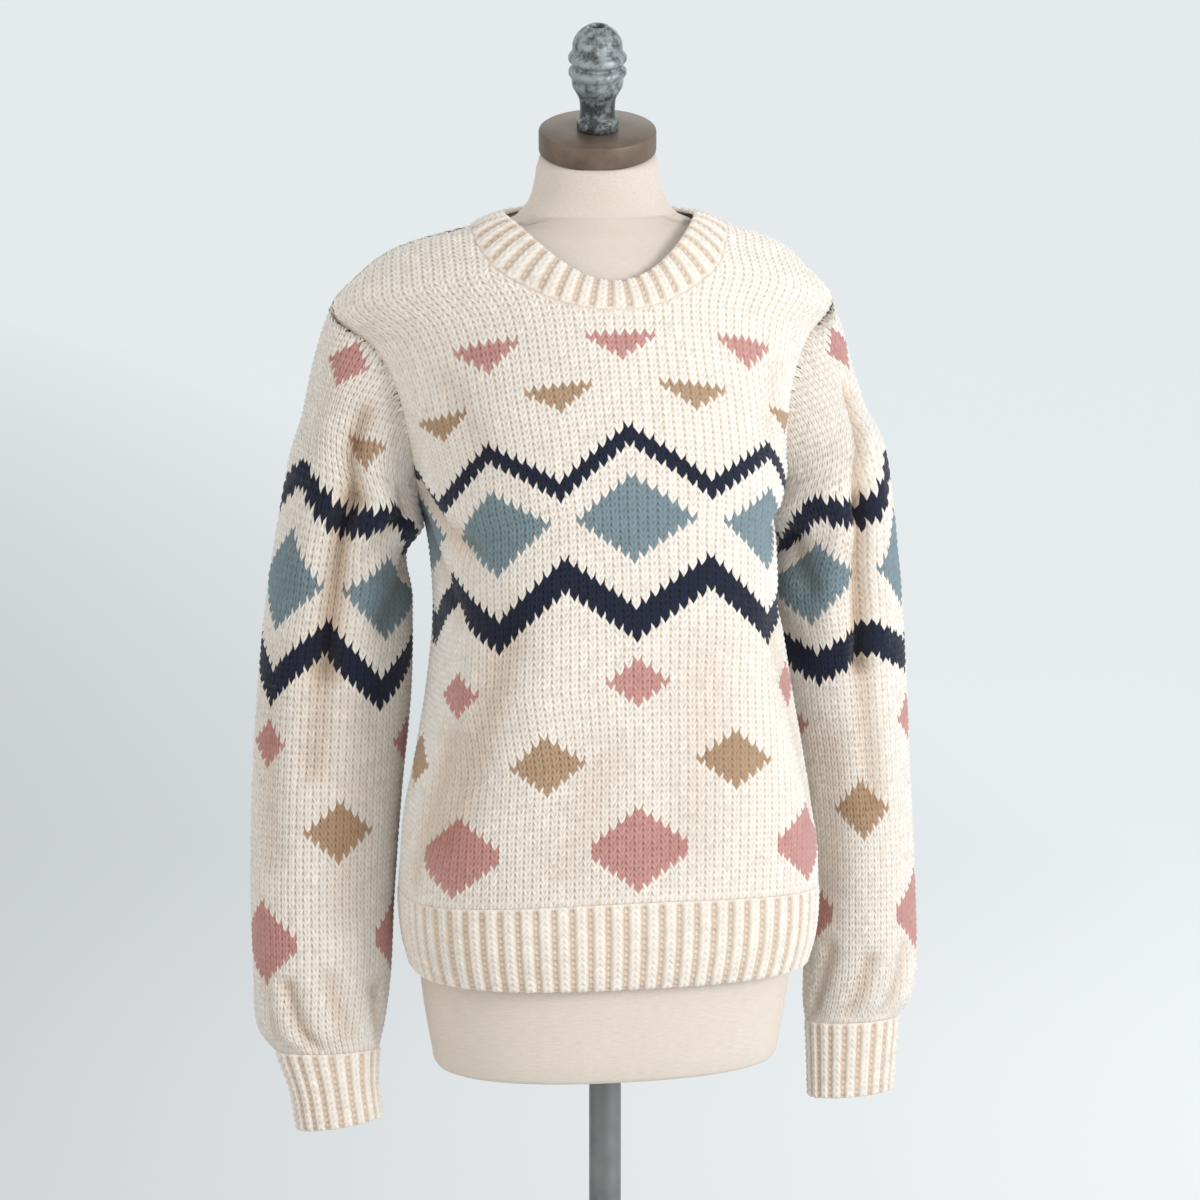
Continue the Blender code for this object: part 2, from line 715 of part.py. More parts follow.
def knit_wall(skin):
    """A closed wall from an outer surface: the same points moved in, and rims between."""
    count = len(skin.points)
    points = list(skin.points) + list(skin.points - skin.normals * WALL)
    faces = [tuple(f) for f in skin.faces]
    faces += [(c + count, b + count, a + count) for a, b, c in skin.faces]
    for a, b in border_loops(skin.faces):
        if leads(skin.points[a], skin.points[b]):
            faces += [(b, a, b + count), (a, a + count, b + count)]
        else:
            faces += [(b, a, a + count), (b, a + count, b + count)]
    return make_object(skin.name, points, faces, CREAM, 0.9)


def rib_wall(skin, row_count, closed):
    """A closed ribbed wall: four outer points to a rib, raised, over a plain inner wall."""
    width = len(skin.points) // row_count
    base = skin.points.reshape(row_count, width, 3)
    out = skin.normals.reshape(row_count, width, 3)
    parts = len(RIB_PROFILE)
    chords = width if closed else width - 1
    fine = []
    for j in range(row_count):
        for i in range(chords):
            k = (i + 1) % width
            for n, lift in enumerate(RIB_PROFILE):
                t = n / parts
                middle = base[j, i] * (1 - t) + base[j, k] * t
                way = out[j, i] * (1 - t) + out[j, k] * t
                raised = lift * RIB_RAISE if j else 0.0
                fine.append(middle + way / np.linalg.norm(way) * raised)
        if not closed:
            fine.append(base[j, -1])
    across = chords * parts + (0 if closed else 1)
    inner = [base[j, i] - out[j, i] * WALL for j in range(row_count) for i in range(width)]
    first = len(fine)
    faces = []
    for j in range(row_count - 1):
        for i in range(chords * parts):
            k = (i + 1) % across
            a, b, c, d = j * across + i, j * across + k, (j + 1) * across + k, (j + 1) * across + i
            faces += [(a, b, c), (a, c, d)]
        for i in range(chords):
            k = (i + 1) % width
            a, b, c, d = (first + v for v in (j * width + i, j * width + k, (j + 1) * width + k, (j + 1) * width + i))
            faces += [(a, c, b), (a, d, c)]
    for j, turned in ((0, False), (row_count - 1, True)):
        for i in range(chords):
            inner_a, inner_b = first + j * width + i, first + j * width + (i + 1) % width
            outer = [j * across + (i * parts + n) % across for n in range(parts + 1)]
            hub, far = (inner_b, outer[0]) if leads(base[j, i], base[j, (i + 1) % width]) else (inner_a, outer[-1])
            zip_faces = [(hub, outer[n + 1], outer[n]) for n in range(parts)] + [(inner_a, inner_b, far)]
            faces += [f[::-1] for f in zip_faces] if turned else zip_faces
    if not closed:
        for j in range(row_count - 1):
            a, b = j * across, (j + 1) * across
            c, d = first + j * width, first + (j + 1) * width
            faces += [(a, b, d), (a, d, c)]
            a, b = j * across + across - 1, (j + 1) * across + across - 1
            c, d = first + j * width + width - 1, first + (j + 1) * width + width - 1
            faces += [(a, d, b), (a, c, d)]
    points, faces = fine + inner, np.array(faces)
    return make_object(skin.name, points, faces, CREAM, 0.9)


def outward(thing):
    """Recalculate a simple closed piece so that its faces point out."""
    work = bmesh.new()
    work.from_mesh(thing.data)
    bmesh.ops.recalc_face_normals(work, faces=work.faces)
    work.to_mesh(thing.data)
    work.free()
    return thing


def build_sweater():
    hem_count, cuff_count, band_count = 3, 3, 4
    panels = {panel: panel_skin(panel) for panel in ("front", "back")}
    sleeves = {side: sleeve_skin(side) for side in SLEEVES}
    hems = {panel: strip_skin("hem_" + panel, hem_rows(panel, hem_count), False) for panel in panels}
    cuffs = {side: strip_skin("cuff_" + side, cuff_rows(side, cuff_count), True) for side in SLEEVES}
    band = strip_skin("neckband", band_rows(band_count), True)
    for skin in hems.values():
        face_out(skin, (0, -40, 830))
    for side, skin in cuffs.items():
        face_out(skin, (-228 if side == "right" else 226, -17, 690))
    face_out(band, (0, -10, 1330))
    plain = list(panels.values()) + list(sleeves.values())
    ribbed = list(hems.values()) + list(cuffs.values()) + [band]
    share_normals(plain + ribbed)
    for skin in plain:
        fold_skin(skin)
    for skin in plain + ribbed:
        draw_back(skin)
    for skin in plain:
        knit_wall(skin)
    for skin in hems.values():
        outward(rib_wall(skin, hem_count, False))
    for skin in cuffs.values():
        outward(rib_wall(skin, cuff_count, True))
    outward(rib_wall(band, band_count, True))


def form_ring(table, z):
    ring = []
    half, y_side, square = table.at("half", z), table.at("y_side", z), table.at("sq", z)
    for k in range(FORM_SIDES):
        angle = 360.0 * k / FORM_SIDES
        panel = "y_front" if math.cos(math.radians(angle)) > 0 else "y_back"
        across, depth = section(half, table.at(panel, z), y_side, square, angle)
        x = math.copysign(float(across), math.sin(math.radians(angle)))
        y = y_side - math.copysign(float(depth), math.cos(math.radians(angle)))
        ring.append((x, y, z))
    return ring


def form_upper_ring(up):
    """A ring of the form inside the cloth, a wall's thickness and a little ease from it."""
    ring = []
    step = 1.0
    foot = FORM_NECK.key[0]
    neck_half, neck_y = FORM_NECK.at("half", foot), FORM_NECK.at("y_side", foot)
    highest = foot - FORM_RISE * (NECK_POINT - up)
    for k in range(FORM_SIDES):
        angle = math.radians(360.0 * k / FORM_SIDES)
        panel = "front" if math.cos(angle) > 0 else "back"
        point = virtual_point(panel, angle, up)
        along = virtual_point(panel, angle + 0.02, up) - virtual_point(panel, angle - 0.02, up)
        above = virtual_point(panel, angle, up + step) - virtual_point(panel, angle, up - step)
        out = np.cross(along, above)
        out = out / np.linalg.norm(out)
        if np.dot(out, point - np.array([0, 0, 1250.0])) < 0:
            out = -out
        to_side = math.sin(angle) ** 2
        ease = FORM_EASE.at("middle", up) * (1 - to_side) + FORM_EASE.at("side", up) * to_side
        point = point - out * (WALL + ease)
        point[0] = min(max(point[0], -FORM_PLATE), FORM_PLATE)
        reach = neck_y - FORM_NECK.at("y_" + panel, foot)
        spread = math.hypot(point[0] / neck_half, (point[1] - neck_y) / reach)
        if spread < 1.0:
            point = np.array([point[0] / spread, neck_y + (point[1] - neck_y) / spread, min(point[2], highest)])
        ring.append(tuple(point))
    return ring


def virtual_point(panel, angle, up):
    """A point of the body's whole section, as if it had no armholes."""
    half, y_side = BODY.at("half", up), BODY.at("y_side", up)
    z_side, z_near = BODY.at("z_side", up), BODY.at("z_" + panel, up)
    across, depth = section(half, BODY.at("y_" + panel, up), y_side, BODY.at("sq_" + panel, up), math.degrees(angle))
    x = math.copysign(float(across), math.sin(angle))
    y = y_side - math.copysign(float(depth), math.cos(angle))
    z = z_side + (z_near - z_side) * (1.0 - (float(across) / half) ** DROOP)
    return np.array([BODY.at("x_mid", up) + x, y, z])


def lofted(name, rings, colour, roughness):
    """A closed solid through rings, with flat ends."""
    width = len(rings[0])
    points = [p for ring in rings for p in ring]
    faces = []
    for j in range(len(rings) - 1):
        for i in range(width):
            k = (i + 1) % width
            a, b, c, d = j * width + i, j * width + k, (j + 1) * width + k, (j + 1) * width + i
            faces += [(a, b, c), (a, c, d)]
    faces.append(tuple(range(width)))
    faces.append(tuple((len(rings) - 1) * width + i for i in range(width)))
    return outward(make_object(name, points, faces, colour, roughness))


def build_form():
    rings = [form_ring(FORM_BELOW, z) for z in np.linspace(700, 1140, 10)]
    rings += [form_upper_ring(up) for up in np.linspace(FORM_BUST, FORM_TOP, FORM_UPPER_RINGS)]
    rings += [form_ring(FORM_NECK, z) for z in FORM_NECK.key[:-1]]
    slope = math.tan(math.radians(CAP_TILT))
    turn = math.radians(CAP_TURN)
    seat = []
    for x, y, z in form_ring(FORM_NECK, FORM_NECK.key[-1]):
        x, y = x * NECK_TOP, (y - CAP_Y) * NECK_TOP
        rise = slope * (y * math.cos(turn) - x * math.sin(turn))
        seat.append((x, y + CAP_Y, CAP_Z - CAP_THICK / 2 - FORM_SEAT + rise))
    rings.append(seat)
    return lofted("form_torso", rings, LINEN, 0.85)


def turned(name, profile, colour, roughness, metallic, sides=40):
    """A turned solid from (height, radius) pairs; a radius of 0 closes an end."""
    profile = list(profile)
    if profile[0][1] > 0:
        profile.insert(0, (profile[0][0], 0.0))
    if profile[-1][1] > 0:
        profile.append((profile[-1][0], 0.0))
    points, rows = [], []
    for height, radius in profile:
        if radius == 0.0:
            rows.append([len(points)] * sides)
            points.append((0.0, 0.0, height))
            continue
        rows.append(list(range(len(points), len(points) + sides)))
        for k in range(sides):
            angle = 2 * math.pi * k / sides
            points.append((radius * math.cos(angle), radius * math.sin(angle), height))
    faces = []
    for lower, upper in zip(rows, rows[1:]):
        for i in range(sides):
            k = (i + 1) % sides
            corners = [lower[i], lower[k], upper[k], upper[i]]
            face = [c for n, c in enumerate(corners) if c != corners[n - 1]]
            if len(face) > 2:
                faces.append(tuple(face))
    return outward(make_object(name, points, faces, colour, roughness, metallic))


def build_stand():
    edge = CAP_EDGE
    profile = (
        (0, CAP_RADIUS - edge), (edge, CAP_RADIUS),
        (CAP_THICK - edge, CAP_RADIUS), (CAP_THICK, CAP_RADIUS - edge),
    )
    cap = turned("neck_cap", profile, BROWN, 0.5, 0.3, 48)
    cap.location = Vector((0, CAP_Y, CAP_Z - CAP_THICK / 2)) * MM
    cap.rotation_euler = (math.radians(CAP_TILT), 0, math.radians(CAP_TURN))
    finial = turned("finial", FINIAL, IRON, 0.45, 0.9, 24)
    lifted = Vector((0, 0, CAP_THICK + SEAM_GAP)) * MM
    lifted.rotate(cap.rotation_euler)
    finial.location = cap.location + lifted
    finial.rotation_euler = cap.rotation_euler
    pole_top = FORM_BELOW.key[0] - SEAM_GAP
    pole = turned("pole", (
        (BASE_THICK + BASE_HUB_TALL + SEAM_GAP, POLE_RADIUS),
        (pole_top - 14, POLE_RADIUS), (pole_top - 14, PLUG_RADIUS), (pole_top, PLUG_RADIUS),
    ), IRON, 0.4, 0.9, 32)
    pole.location = Vector((0, STAND_Y, 0)) * MM
    base = turned("stand_base", (
        (0, BASE_RADIUS - 1.5), (1.5, BASE_RADIUS), (BASE_THICK - 5, BASE_RADIUS),
        (BASE_THICK, BASE_RADIUS - 9), (BASE_THICK + 9, BASE_HUB + 14),
        (BASE_THICK + 20, BASE_HUB), (BASE_THICK + BASE_HUB_TALL - 4, BASE_HUB - 8),
        (BASE_THICK + BASE_HUB_TALL, BASE_HUB - 11),
    ), IRON, 0.45, 0.9, 48)
    base.location = Vector((0, STAND_Y, 0)) * MM


def main():
    for thing in list(bpy.data.objects):
        bpy.data.objects.remove(thing, do_unlink=True)
    build_sweater()
    build_form()
    build_stand()
    for thing in bpy.data.objects:
        thing.location.y -= STAND_Y * MM


main()
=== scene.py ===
"""Hand-knit crew-neck sweater with a motif chart, on a linen dress form with a neck cap and finial.

The sweater is knitted stitch by stitch: every stitch is two slanted legs of yarn on the garment's
worn form. Sizes in the tables are millimetres, and the pieces are made in metres.
"""
import math

import bmesh
import bpy
import numpy as np
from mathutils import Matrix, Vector
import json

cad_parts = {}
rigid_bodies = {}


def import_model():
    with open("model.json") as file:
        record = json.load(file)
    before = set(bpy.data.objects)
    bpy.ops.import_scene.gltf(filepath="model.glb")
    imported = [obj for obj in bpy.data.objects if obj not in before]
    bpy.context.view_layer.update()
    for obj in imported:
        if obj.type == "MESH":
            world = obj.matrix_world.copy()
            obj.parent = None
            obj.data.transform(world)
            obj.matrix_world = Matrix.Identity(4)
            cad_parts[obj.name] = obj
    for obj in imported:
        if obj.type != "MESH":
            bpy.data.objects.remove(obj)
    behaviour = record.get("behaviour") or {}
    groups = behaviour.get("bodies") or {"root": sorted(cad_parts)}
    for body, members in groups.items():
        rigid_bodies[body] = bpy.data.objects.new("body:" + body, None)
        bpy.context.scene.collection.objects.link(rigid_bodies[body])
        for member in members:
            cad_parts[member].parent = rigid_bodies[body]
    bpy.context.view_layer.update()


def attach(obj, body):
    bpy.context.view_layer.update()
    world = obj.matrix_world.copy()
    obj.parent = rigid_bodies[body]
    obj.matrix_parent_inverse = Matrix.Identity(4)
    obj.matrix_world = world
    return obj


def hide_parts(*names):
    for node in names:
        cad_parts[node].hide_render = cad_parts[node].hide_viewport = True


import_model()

MM = 0.001
GARMENT_Y = 34.0

# A row's height, and how far a stitch's legs rise from its middle to its sides, in rows
ROW = 5.5
LEG_RISE = 0.56

# How unevenly the yarn lies: up, across and outwards, in millimetres, and in its tone
UNEVEN_UP, UNEVEN_ACROSS, UNEVEN_OUT = 0.22, 0.16, 0.08
UNEVEN_TONE = 0.028

# Yarn colours, linear
CREAM = (0.90, 0.87, 0.825)
NAVY = (0.013, 0.018, 0.042)
BLUE = (0.215, 0.30, 0.35)
PINK = (0.60, 0.325, 0.31)
TAN = (0.475, 0.335, 0.225)
YARNS = np.array((CREAM, NAVY, BLUE, PINK, TAN))
CREAM_YARN, NAVY_YARN, BLUE_YARN, PINK_YARN, TAN_YARN = range(5)

rng = np.random.default_rng(7)


def link_object(name, data):
    thing = bpy.data.objects.new(name, data)
    bpy.context.scene.collection.objects.link(thing)
    return thing


class Table:
    """Rows of named columns, read at any place along the first column by a smooth curve."""

    def __init__(self, names, rows):
        self.names = names.split()
        self.grid = np.array(rows, float)
        self.key = self.grid[:, 0]

    def at(self, name, place):
        key = self.key
        value = self.grid[:, self.names.index(name)]
        step = np.diff(key)
        rise = np.diff(value) / step
        slope = np.empty(len(key))
        slope[0], slope[-1] = rise[0], rise[-1]
        slope[1:-1] = (rise[:-1] * step[1:] + rise[1:] * step[:-1]) / (step[:-1] + step[1:])
        slope[1:-1][rise[:-1] * rise[1:] <= 0.0] = 0.0
        place = min(max(place, key[0]), key[-1])
        i = min(int(np.searchsorted(key, place, side="right")) - 1, len(step) - 1)
        t = (place - key[i]) / step[i]
        start = (1 + 2 * t) * (1 - t) ** 2 * value[i] + t * (1 - t) ** 2 * step[i] * slope[i]
        end = t * t * (3 - 2 * t) * value[i + 1] - t * t * (1 - t) * step[i] * slope[i + 1]
        return float(start + end)


UNDERARM = 334.0
SHOULDER_END = 560.0
NECK_POINT = 630.0
FRONT_NECK_LOW = 510.0
BACK_NECK_LOW = 603.0
NECK_HALF = 108.0
NECK_ROUND = 0.92
DROOP = 2.2

BODY = Table(
    "up flat z_front z_side z_back x_mid half y_front y_side y_back sq_front sq_back gap_front gap_back",
    (
        (0, 247, 866, 857, 850, 1, 182, -164, -40, 84, 2.70, 2.4, 0, 0),
        (64, 247, 930, 917, 912, 1, 178, -165, -40, 86, 2.80, 2.4, 0, 0),
        (134, 247, 999, 983, 978, 2, 165, -161, -36, 84, 3.00, 2.4, 0, 0),
        (204, 247, 1069, 1050, 1044, 2, 153, -156, -28, 86, 3.05, 2.4, 0, 0),
        (269, 247, 1134, 1112, 1107, 1, 147, -152, -16, 94, 3.00, 2.2, 0, 0),
        (334, 247, 1200, 1172, 1170, -1, 151, -147, 2, 103, 3.00, 2.15, 0, 0),
        (380, 238, 1244, 1212, 1216, -1, 161, -139, 16, 109, 2.85, 2.2, 29, 30),
        (429, 235, 1290, 1250, 1264, -1, 169, -122, 29, 112, 2.60, 2.3, 40, 38),
        (479, 236, 1334, 1288, 1312, -1, 181, -103, 39, 110, 2.25, 2.1, 41, 37),
        (520, 239, 1371, 1321, 1351, -1, 200, -86, 46, 105, 1.90, 1.9, 31, 27),
        (560, 243, 1405, 1355, 1389, -1, 223, -66, 50, 98, 1.65, 1.8, 0, 0),
        (582, 219, 1419, 1382, 1409, -1, 201, -54, 48, 91, 1.65, 1.8, 0, 0),
        (603, 186, 1432, 1405, 1424, 0, 173, -44, 38, 80, 1.70, 1.8, 0, 0),
        (630, 108, 1446, 1429, 1438, 0, 107, -26, -8, 24, 1.90, 1.9, 0, 0),
    ),
)

# Where the sleeve's cap starts and ends, and how far below it the seam starts to lean to the armhole
CAP = 462.0
CAP_TOP = 600.0
CAP_BLEND = 70.0
SLEEVE_NAMES = "up flat z_out z_in x_out x_in y_mid front back turn"
SLEEVES = {
    "right": Table(SLEEVE_NAMES, (
        (0, 160, 716, 716, 288, 197, -14, 24, 24, 180),
        (22, 163, 733, 736, 301, 192, -11, 33, 34, 180),
        (60, 166, 772, 774, 305, 186, -6, 40, 42, 180),
        (130, 170, 842, 844, 305, 180, 6, 45, 47, 180),
        (220, 176, 935, 935, 301, 170, 22, 48, 50, 180),
        (310, 184, 1030, 1024, 293, 159, 34, 50, 52, 180),
        (390, 192, 1122, 1102, 282, 157, 37, 52, 54, 180),
        (436, 197, 1184, 1145, 272, 164, 31, 53, 55, 180),
        (462, 200, 1226, 1172, 265, 150, 26, 54, 56, 180),
        (500, 172, 1262, 1205, 252, 157, 38, 54, 46, 128),
        (545, 118, 1305, 1260, 242, 167, 45, 50, 40, 98),
        (580, 58, 1340, 1318, 233, 196, 49, 34, 28, 90),
        (600, 2, 1359, 1359, 227, 227, 50, 4, 4, 90),
    )),
    "left": Table(SLEEVE_NAMES, (
        (0, 160, 719, 718, 272, 187, -12, 24, 24, 180),
        (22, 163, 735, 736, 284, 186, -9, 33, 35, 180),
        (60, 166, 774, 775, 290, 188, -4, 42, 46, 180),
        (130, 170, 844, 845, 290, 188, 8, 50, 54, 180),
        (220, 176, 937, 936, 289, 182, 24, 54, 57, 180),
        (310, 184, 1032, 1026, 287, 168, 35, 54, 56, 180),
        (390, 192, 1122, 1102, 281, 158, 38, 54, 56, 180),
        (436, 197, 1184, 1144, 272, 166, 31, 54, 56, 180),
        (462, 200, 1226, 1172, 264, 149, 26, 54, 56, 180),
        (500, 172, 1262, 1205, 249, 151, 38, 54, 46, 128),
        (545, 118, 1305, 1260, 236, 159, 45, 50, 40, 98),
        (580, 58, 1340, 1318, 226, 188, 49, 34, 28, 90),
        (600, 2, 1359, 1359, 219, 219, 50, 4, 4, 90),
    )),
}

HEM_RIB = Table("down z_front z_side z_back half y_front y_side y_back", (
    (0, 866, 857, 850, 182, -164, -40, 84),
    (26, 840, 833, 828, 181, -165, -41, 84),
    (52, 814, 811, 806, 178, -163, -42, 82),
    (76, 789, 789, 785, 172, -157, -42, 77),
))
CUFFS = {
    "right": Table("down z_out z_in x_out x_in y_mid front back", (
        (0, 716, 716, 288, 197, -14, 24, 24),
        (30, 683, 688, 277, 199, -17, 21, 20),
        (68, 646, 655, 271, 196, -22, 19, 18),
    )),
    "left": Table("down z_out z_in x_out x_in y_mid front back", (
        (0, 719, 718, 272, 187, -12, 24, 24),
        (30, 688, 687, 269, 188, -15, 21, 20),
        (68, 653, 650, 265, 188, -20, 19, 18),
    )),
}

BAND_HALF = 82.0
BAND_FRONT = -76.0
BAND_MID = -9.0
BAND_BACK = 59.0
BAND_Z_FRONT = 1386.0
BAND_Z_SIDE = 1438.0
BAND_Z_BACK = 1442.0
BAND_BULGE = 10.0

# Folds and creases: the line's two ends (across, up), half breadth and depth, - for a trough
FOLDS = {
    "front": (
        (-232, 372, -150, 318, 13, -7.0),
        (-240, 338, -176, 262, 12, -5.0),
        (-205, 380, -168, 345, 9, 2.5),
        (232, 372, 158, 322, 13, -7.0),
        (240, 340, 186, 258, 12, -5.0),
        (208, 384, 170, 350, 9, 2.5),
        (-118, 235, -172, 62, 22, -6.5),
        (-70, 250, -96, 120, 22, 3.5),
        (150, 235, 196, 75, 20, -5.5),
        (-178, 150, -214, 20, 16, -6.5),
        (-30, 120, -60, 30, 26, -3.0),
        (60, 200, 40, 60, 30, -2.5),
        (-165, 470, -130, 400, 14, -3.0),
        (176, 480, 150, 420, 12, -3.0),
    ),
    "back": (
        (-232, 372, -150, 308, 13, -7.0),
        (232, 372, 150, 312, 13, -7.0),
        (-240, 330, -160, 240, 14, -5.0),
        (240, 330, 168, 236, 14, -5.0),
        (-60, 300, -40, 90, 26, -4.0),
        (70, 270, 92, 70, 26, -4.0),
        (-170, 190, -200, 40, 20, -4.0),
        (168, 200, 190, 60, 20, -4.0),
    ),
    "sleeve_right": (
        (-97, 520, -88, 456, 12, -11.0),
        (-88, 456, -76, 330, 11, -14.0),
        (-76, 330, -70, 250, 13, -7.0),
        (-122, 500, -112, 400, 13, 4.5),
        (-58, 500, -52, 400, 13, 3.5),
        (-150, 470, -112, 424, 9, -6.0),
        (-176, 430, -130, 372, 12, -6.0),
        (50, 520, 46, 350, 15, -6.0),
        (140, 460, 92, 392, 13, -6.0),
        (-20, 330, -34, 180, 16, -3.5),
        (-110, 300, -96, 130, 18, -3.5),
        (-50, 64, -66, 6, 8, -8.0),
        (-84, 70, -100, 16, 9, -5.0),
        (-24, 66, -30, 18, 8, -4.0),
        (-128, 56, -142, 10, 9, -6.0),
        (40, 70, 66, 14, 11, -7.0),
        (104, 60, 120, 10, 10, -6.0),
    ),
    "sleeve_left": (
        (-58, 520, -80, 440, 9, -11.0),
        (-80, 440, -84, 320, 9, -14.0),
        (-84, 320, -80, 210, 12, -7.0),
        (-52, 490, -62, 340, 11, 4.0),
        (-110, 460, -112, 350, 12, 4.0),
        (-166, 440, -128, 392, 11, -6.0),
        (-184, 392, -140, 330, 12, -5.0),
        (44, 520, 40, 330, 14, -8.0),
        (140, 460, 92, 398, 13, -6.0),
        (-120, 250, -130, 110, 18, -3.5),
        (-46, 66, -58, 8, 9, -6.0),
        (-86, 60, -96, 10, 9, -7.0),
        (-126, 70, -140, 14, 9, -6.0),
        (52, 70, 84, 14, 12, -7.0),
        (112, 56, 124, 8, 10, -5.0),
    ),
}


def section(half, y_near, y_side, square, turns):
    angle = np.radians(turns)
    reach = abs(y_side - y_near)
    sine, cosine = np.abs(np.sin(angle)), np.abs(np.cos(angle))
    radius = ((sine / half) ** square + (cosine / reach) ** square) ** (-1.0 / square)
    return radius * sine, radius * cosine


def panel_row(panel, up):
    """Half a row of the front or back, from the middle to its edge, as evenly spaced points."""
    half, y_side, z_side = (BODY.at(name, up) for name in ("half", "y_side", "z_side"))
    y_near, z_near = BODY.at("y_" + panel, up), BODY.at("z_" + panel, up)
    gap = 0.0
    if UNDERARM < up < SHOULDER_END:
        gap = max(BODY.at("gap_" + panel, up), 0.0)
    across, depth = section(half, y_near, y_side, BODY.at("sq_" + panel, up), np.linspace(0, 90, 73))
    across[0], depth[-1] = 0.0, 0.0
    if gap > 0.0:
        edge = np.interp(gap, depth[::-1], np.arange(len(depth))[::-1].astype(float))
        kept = np.append(np.arange(math.ceil(edge)), edge)
        count = np.arange(len(depth)).astype(float)
        across, depth = np.interp(kept, count, across), np.interp(kept, count, depth)
    y = y_side + (-depth if panel == "front" else depth)
    z = z_side + (z_near - z_side) * (1.0 - (across / half) ** DROOP)
    length = np.append(0.0, np.cumsum(np.sqrt(np.diff(across) ** 2 + np.diff(y) ** 2 + np.diff(z) ** 2)))
    return length / length[-1], across, y, z


def body_points(panel, shares, up):
    """Points of the front or back at a height, by their share of the way to its side edges."""
    places, x, y, z = panel_row(panel, up)
    out = np.minimum(np.abs(shares), 1.0)
    return np.stack([
        BODY.at("x_mid", up) + np.sign(shares) * np.interp(out, places, x),
        np.interp(out, places, y), np.interp(out, places, z),
    ], -1)


class Surface:
    """A worn surface as a fine grid of points, read anywhere with its outward direction."""

    def __init__(self, first, last, low, high, points, outward):
        self.first, self.last, self.low, self.high = first, last, low, high
        self.points = np.array(points, float)
        along = np.gradient(self.points, axis=1)
        above = np.gradient(self.points, axis=0)
        way = np.cross(along, above)
        size = np.linalg.norm(way, axis=2, keepdims=True)
        way = way / np.maximum(size, 1e-9)
        if float((way * (self.points - np.array(outward))).sum()) < 0:
            way = -way
        self.way = way

    def read(self, grid, one, two):
        rows, columns = grid.shape[:2]
        j = np.clip((np.asarray(one) - self.low) / (self.high - self.low), 0, 1) * (rows - 1)
        i = np.clip((np.asarray(two) - self.first) / (self.last - self.first), 0, 1) * (columns - 1)
        j0, i0 = np.minimum(j.astype(int), rows - 2), np.minimum(i.astype(int), columns - 2)
        fj, fi = (j - j0)[..., None], (i - i0)[..., None]
        low = grid[j0, i0] * (1 - fi) + grid[j0, i0 + 1] * fi
        high = grid[j0 + 1, i0] * (1 - fi) + grid[j0 + 1, i0 + 1] * fi
        return low * (1 - fj) + high * fj

    def at(self, up, share):
        way = self.read(self.way, up, share)
        return self.read(self.points, up, share), way / np.linalg.norm(way, axis=-1, keepdims=True)


def body_surface(panel):
    shares = np.linspace(-1, 1, 161)
    rows = [body_points(panel, shares, up) for up in np.linspace(0, NECK_POINT, 316)]
    return Surface(-1, 1, 0, NECK_POINT, rows, (0, -20, 1100))


def sleeve_surface(side):
    table = SLEEVES[side]
    sign = -1.0 if side == "right" else 1.0
    pit = body_points("front", sign, UNDERARM)
    tip = body_points("front", sign, SHOULDER_END)

    def place(x_name, z_name, up):
        return np.array([sign * table.at(x_name, up), table.at("y_mid", up), table.at(z_name, up)])

    shares = np.linspace(-1, 1, 145)
    part = np.abs(shares)
    rows = []
    for up in np.linspace(0, CAP_TOP, 301):
        outer = place("x_out", "z_out", up)
        if up <= CAP:
            blend = max(0.0, 1.0 - (CAP - up) / CAP_BLEND)
            front = place("x_in", "z_in", up)
            front = front + (pit - place("x_in", "z_in", CAP)) * blend * blend * (3 - 2 * blend)
            back = front
        else:
            done = (up - CAP) / (CAP_TOP - CAP)
            height = UNDERARM + (SHOULDER_END - UNDERARM) * done
            outer = outer + (tip - place("x_out", "z_out", CAP_TOP)) * done ** 3
            front, back = (body_points(panel, sign, height) for panel in ("front", "back"))
        edge = np.where(shares[:, None] < 0, front, back)
        facing = np.where(shares < 0, -1.0, 1.0)
        last = math.radians(table.at("turn", up))
        reach = np.where(shares < 0, table.at("front", up), table.at("back", up))
        turn = part * last
        swing = (1 - np.cos(turn)) / (1 - math.cos(last))
        x = outer[0] + (edge[:, 0] - outer[0]) * swing
        z = outer[2] + (edge[:, 2] - outer[2]) * swing
        y_edge = outer[1] + facing * reach * math.sin(last)
        y = outer[1] + facing * reach * np.sin(turn) + (edge[:, 1] - y_edge) * part * part
        rows.append(np.stack([x, y, z], 1))
    surface = Surface(-1, 1, 0, CAP_TOP, rows, (sign * 225, 15, 1000))
    surface.way[-4:] = surface.way[-5]
    return surface


def hem_surface(panel, body):
    shares = np.linspace(-1, 1, 161)
    start = body.read(body.points, np.zeros_like(shares), shares)
    middle, side_y, near = BODY.at("x_mid", 0), BODY.at("y_side", 0), "y_" + panel
    out = np.minimum(np.abs(start[:, 0] - middle) / BODY.at("half", 0), 1.0)
    rows = []
    for down in np.linspace(0, HEM_RIB.key[-1], 39):
        y_side, z_side, z_near = (HEM_RIB.at(part, down) for part in ("y_side", "z_side", "z_" + panel))
        scale = HEM_RIB.at("half", down) / HEM_RIB.at("half", 0)
        reach = (HEM_RIB.at(near, down) - y_side) / (BODY.at(near, 0) - side_y)
        rows.append(np.stack([
            middle + (start[:, 0] - middle) * scale,
            y_side + (start[:, 1] - side_y) * reach,
            z_side + (z_near - z_side) * (1.0 - out ** DROOP),
        ], 1))
    return Surface(-1, 1, 0, HEM_RIB.key[-1], rows, (0, -40, 830))


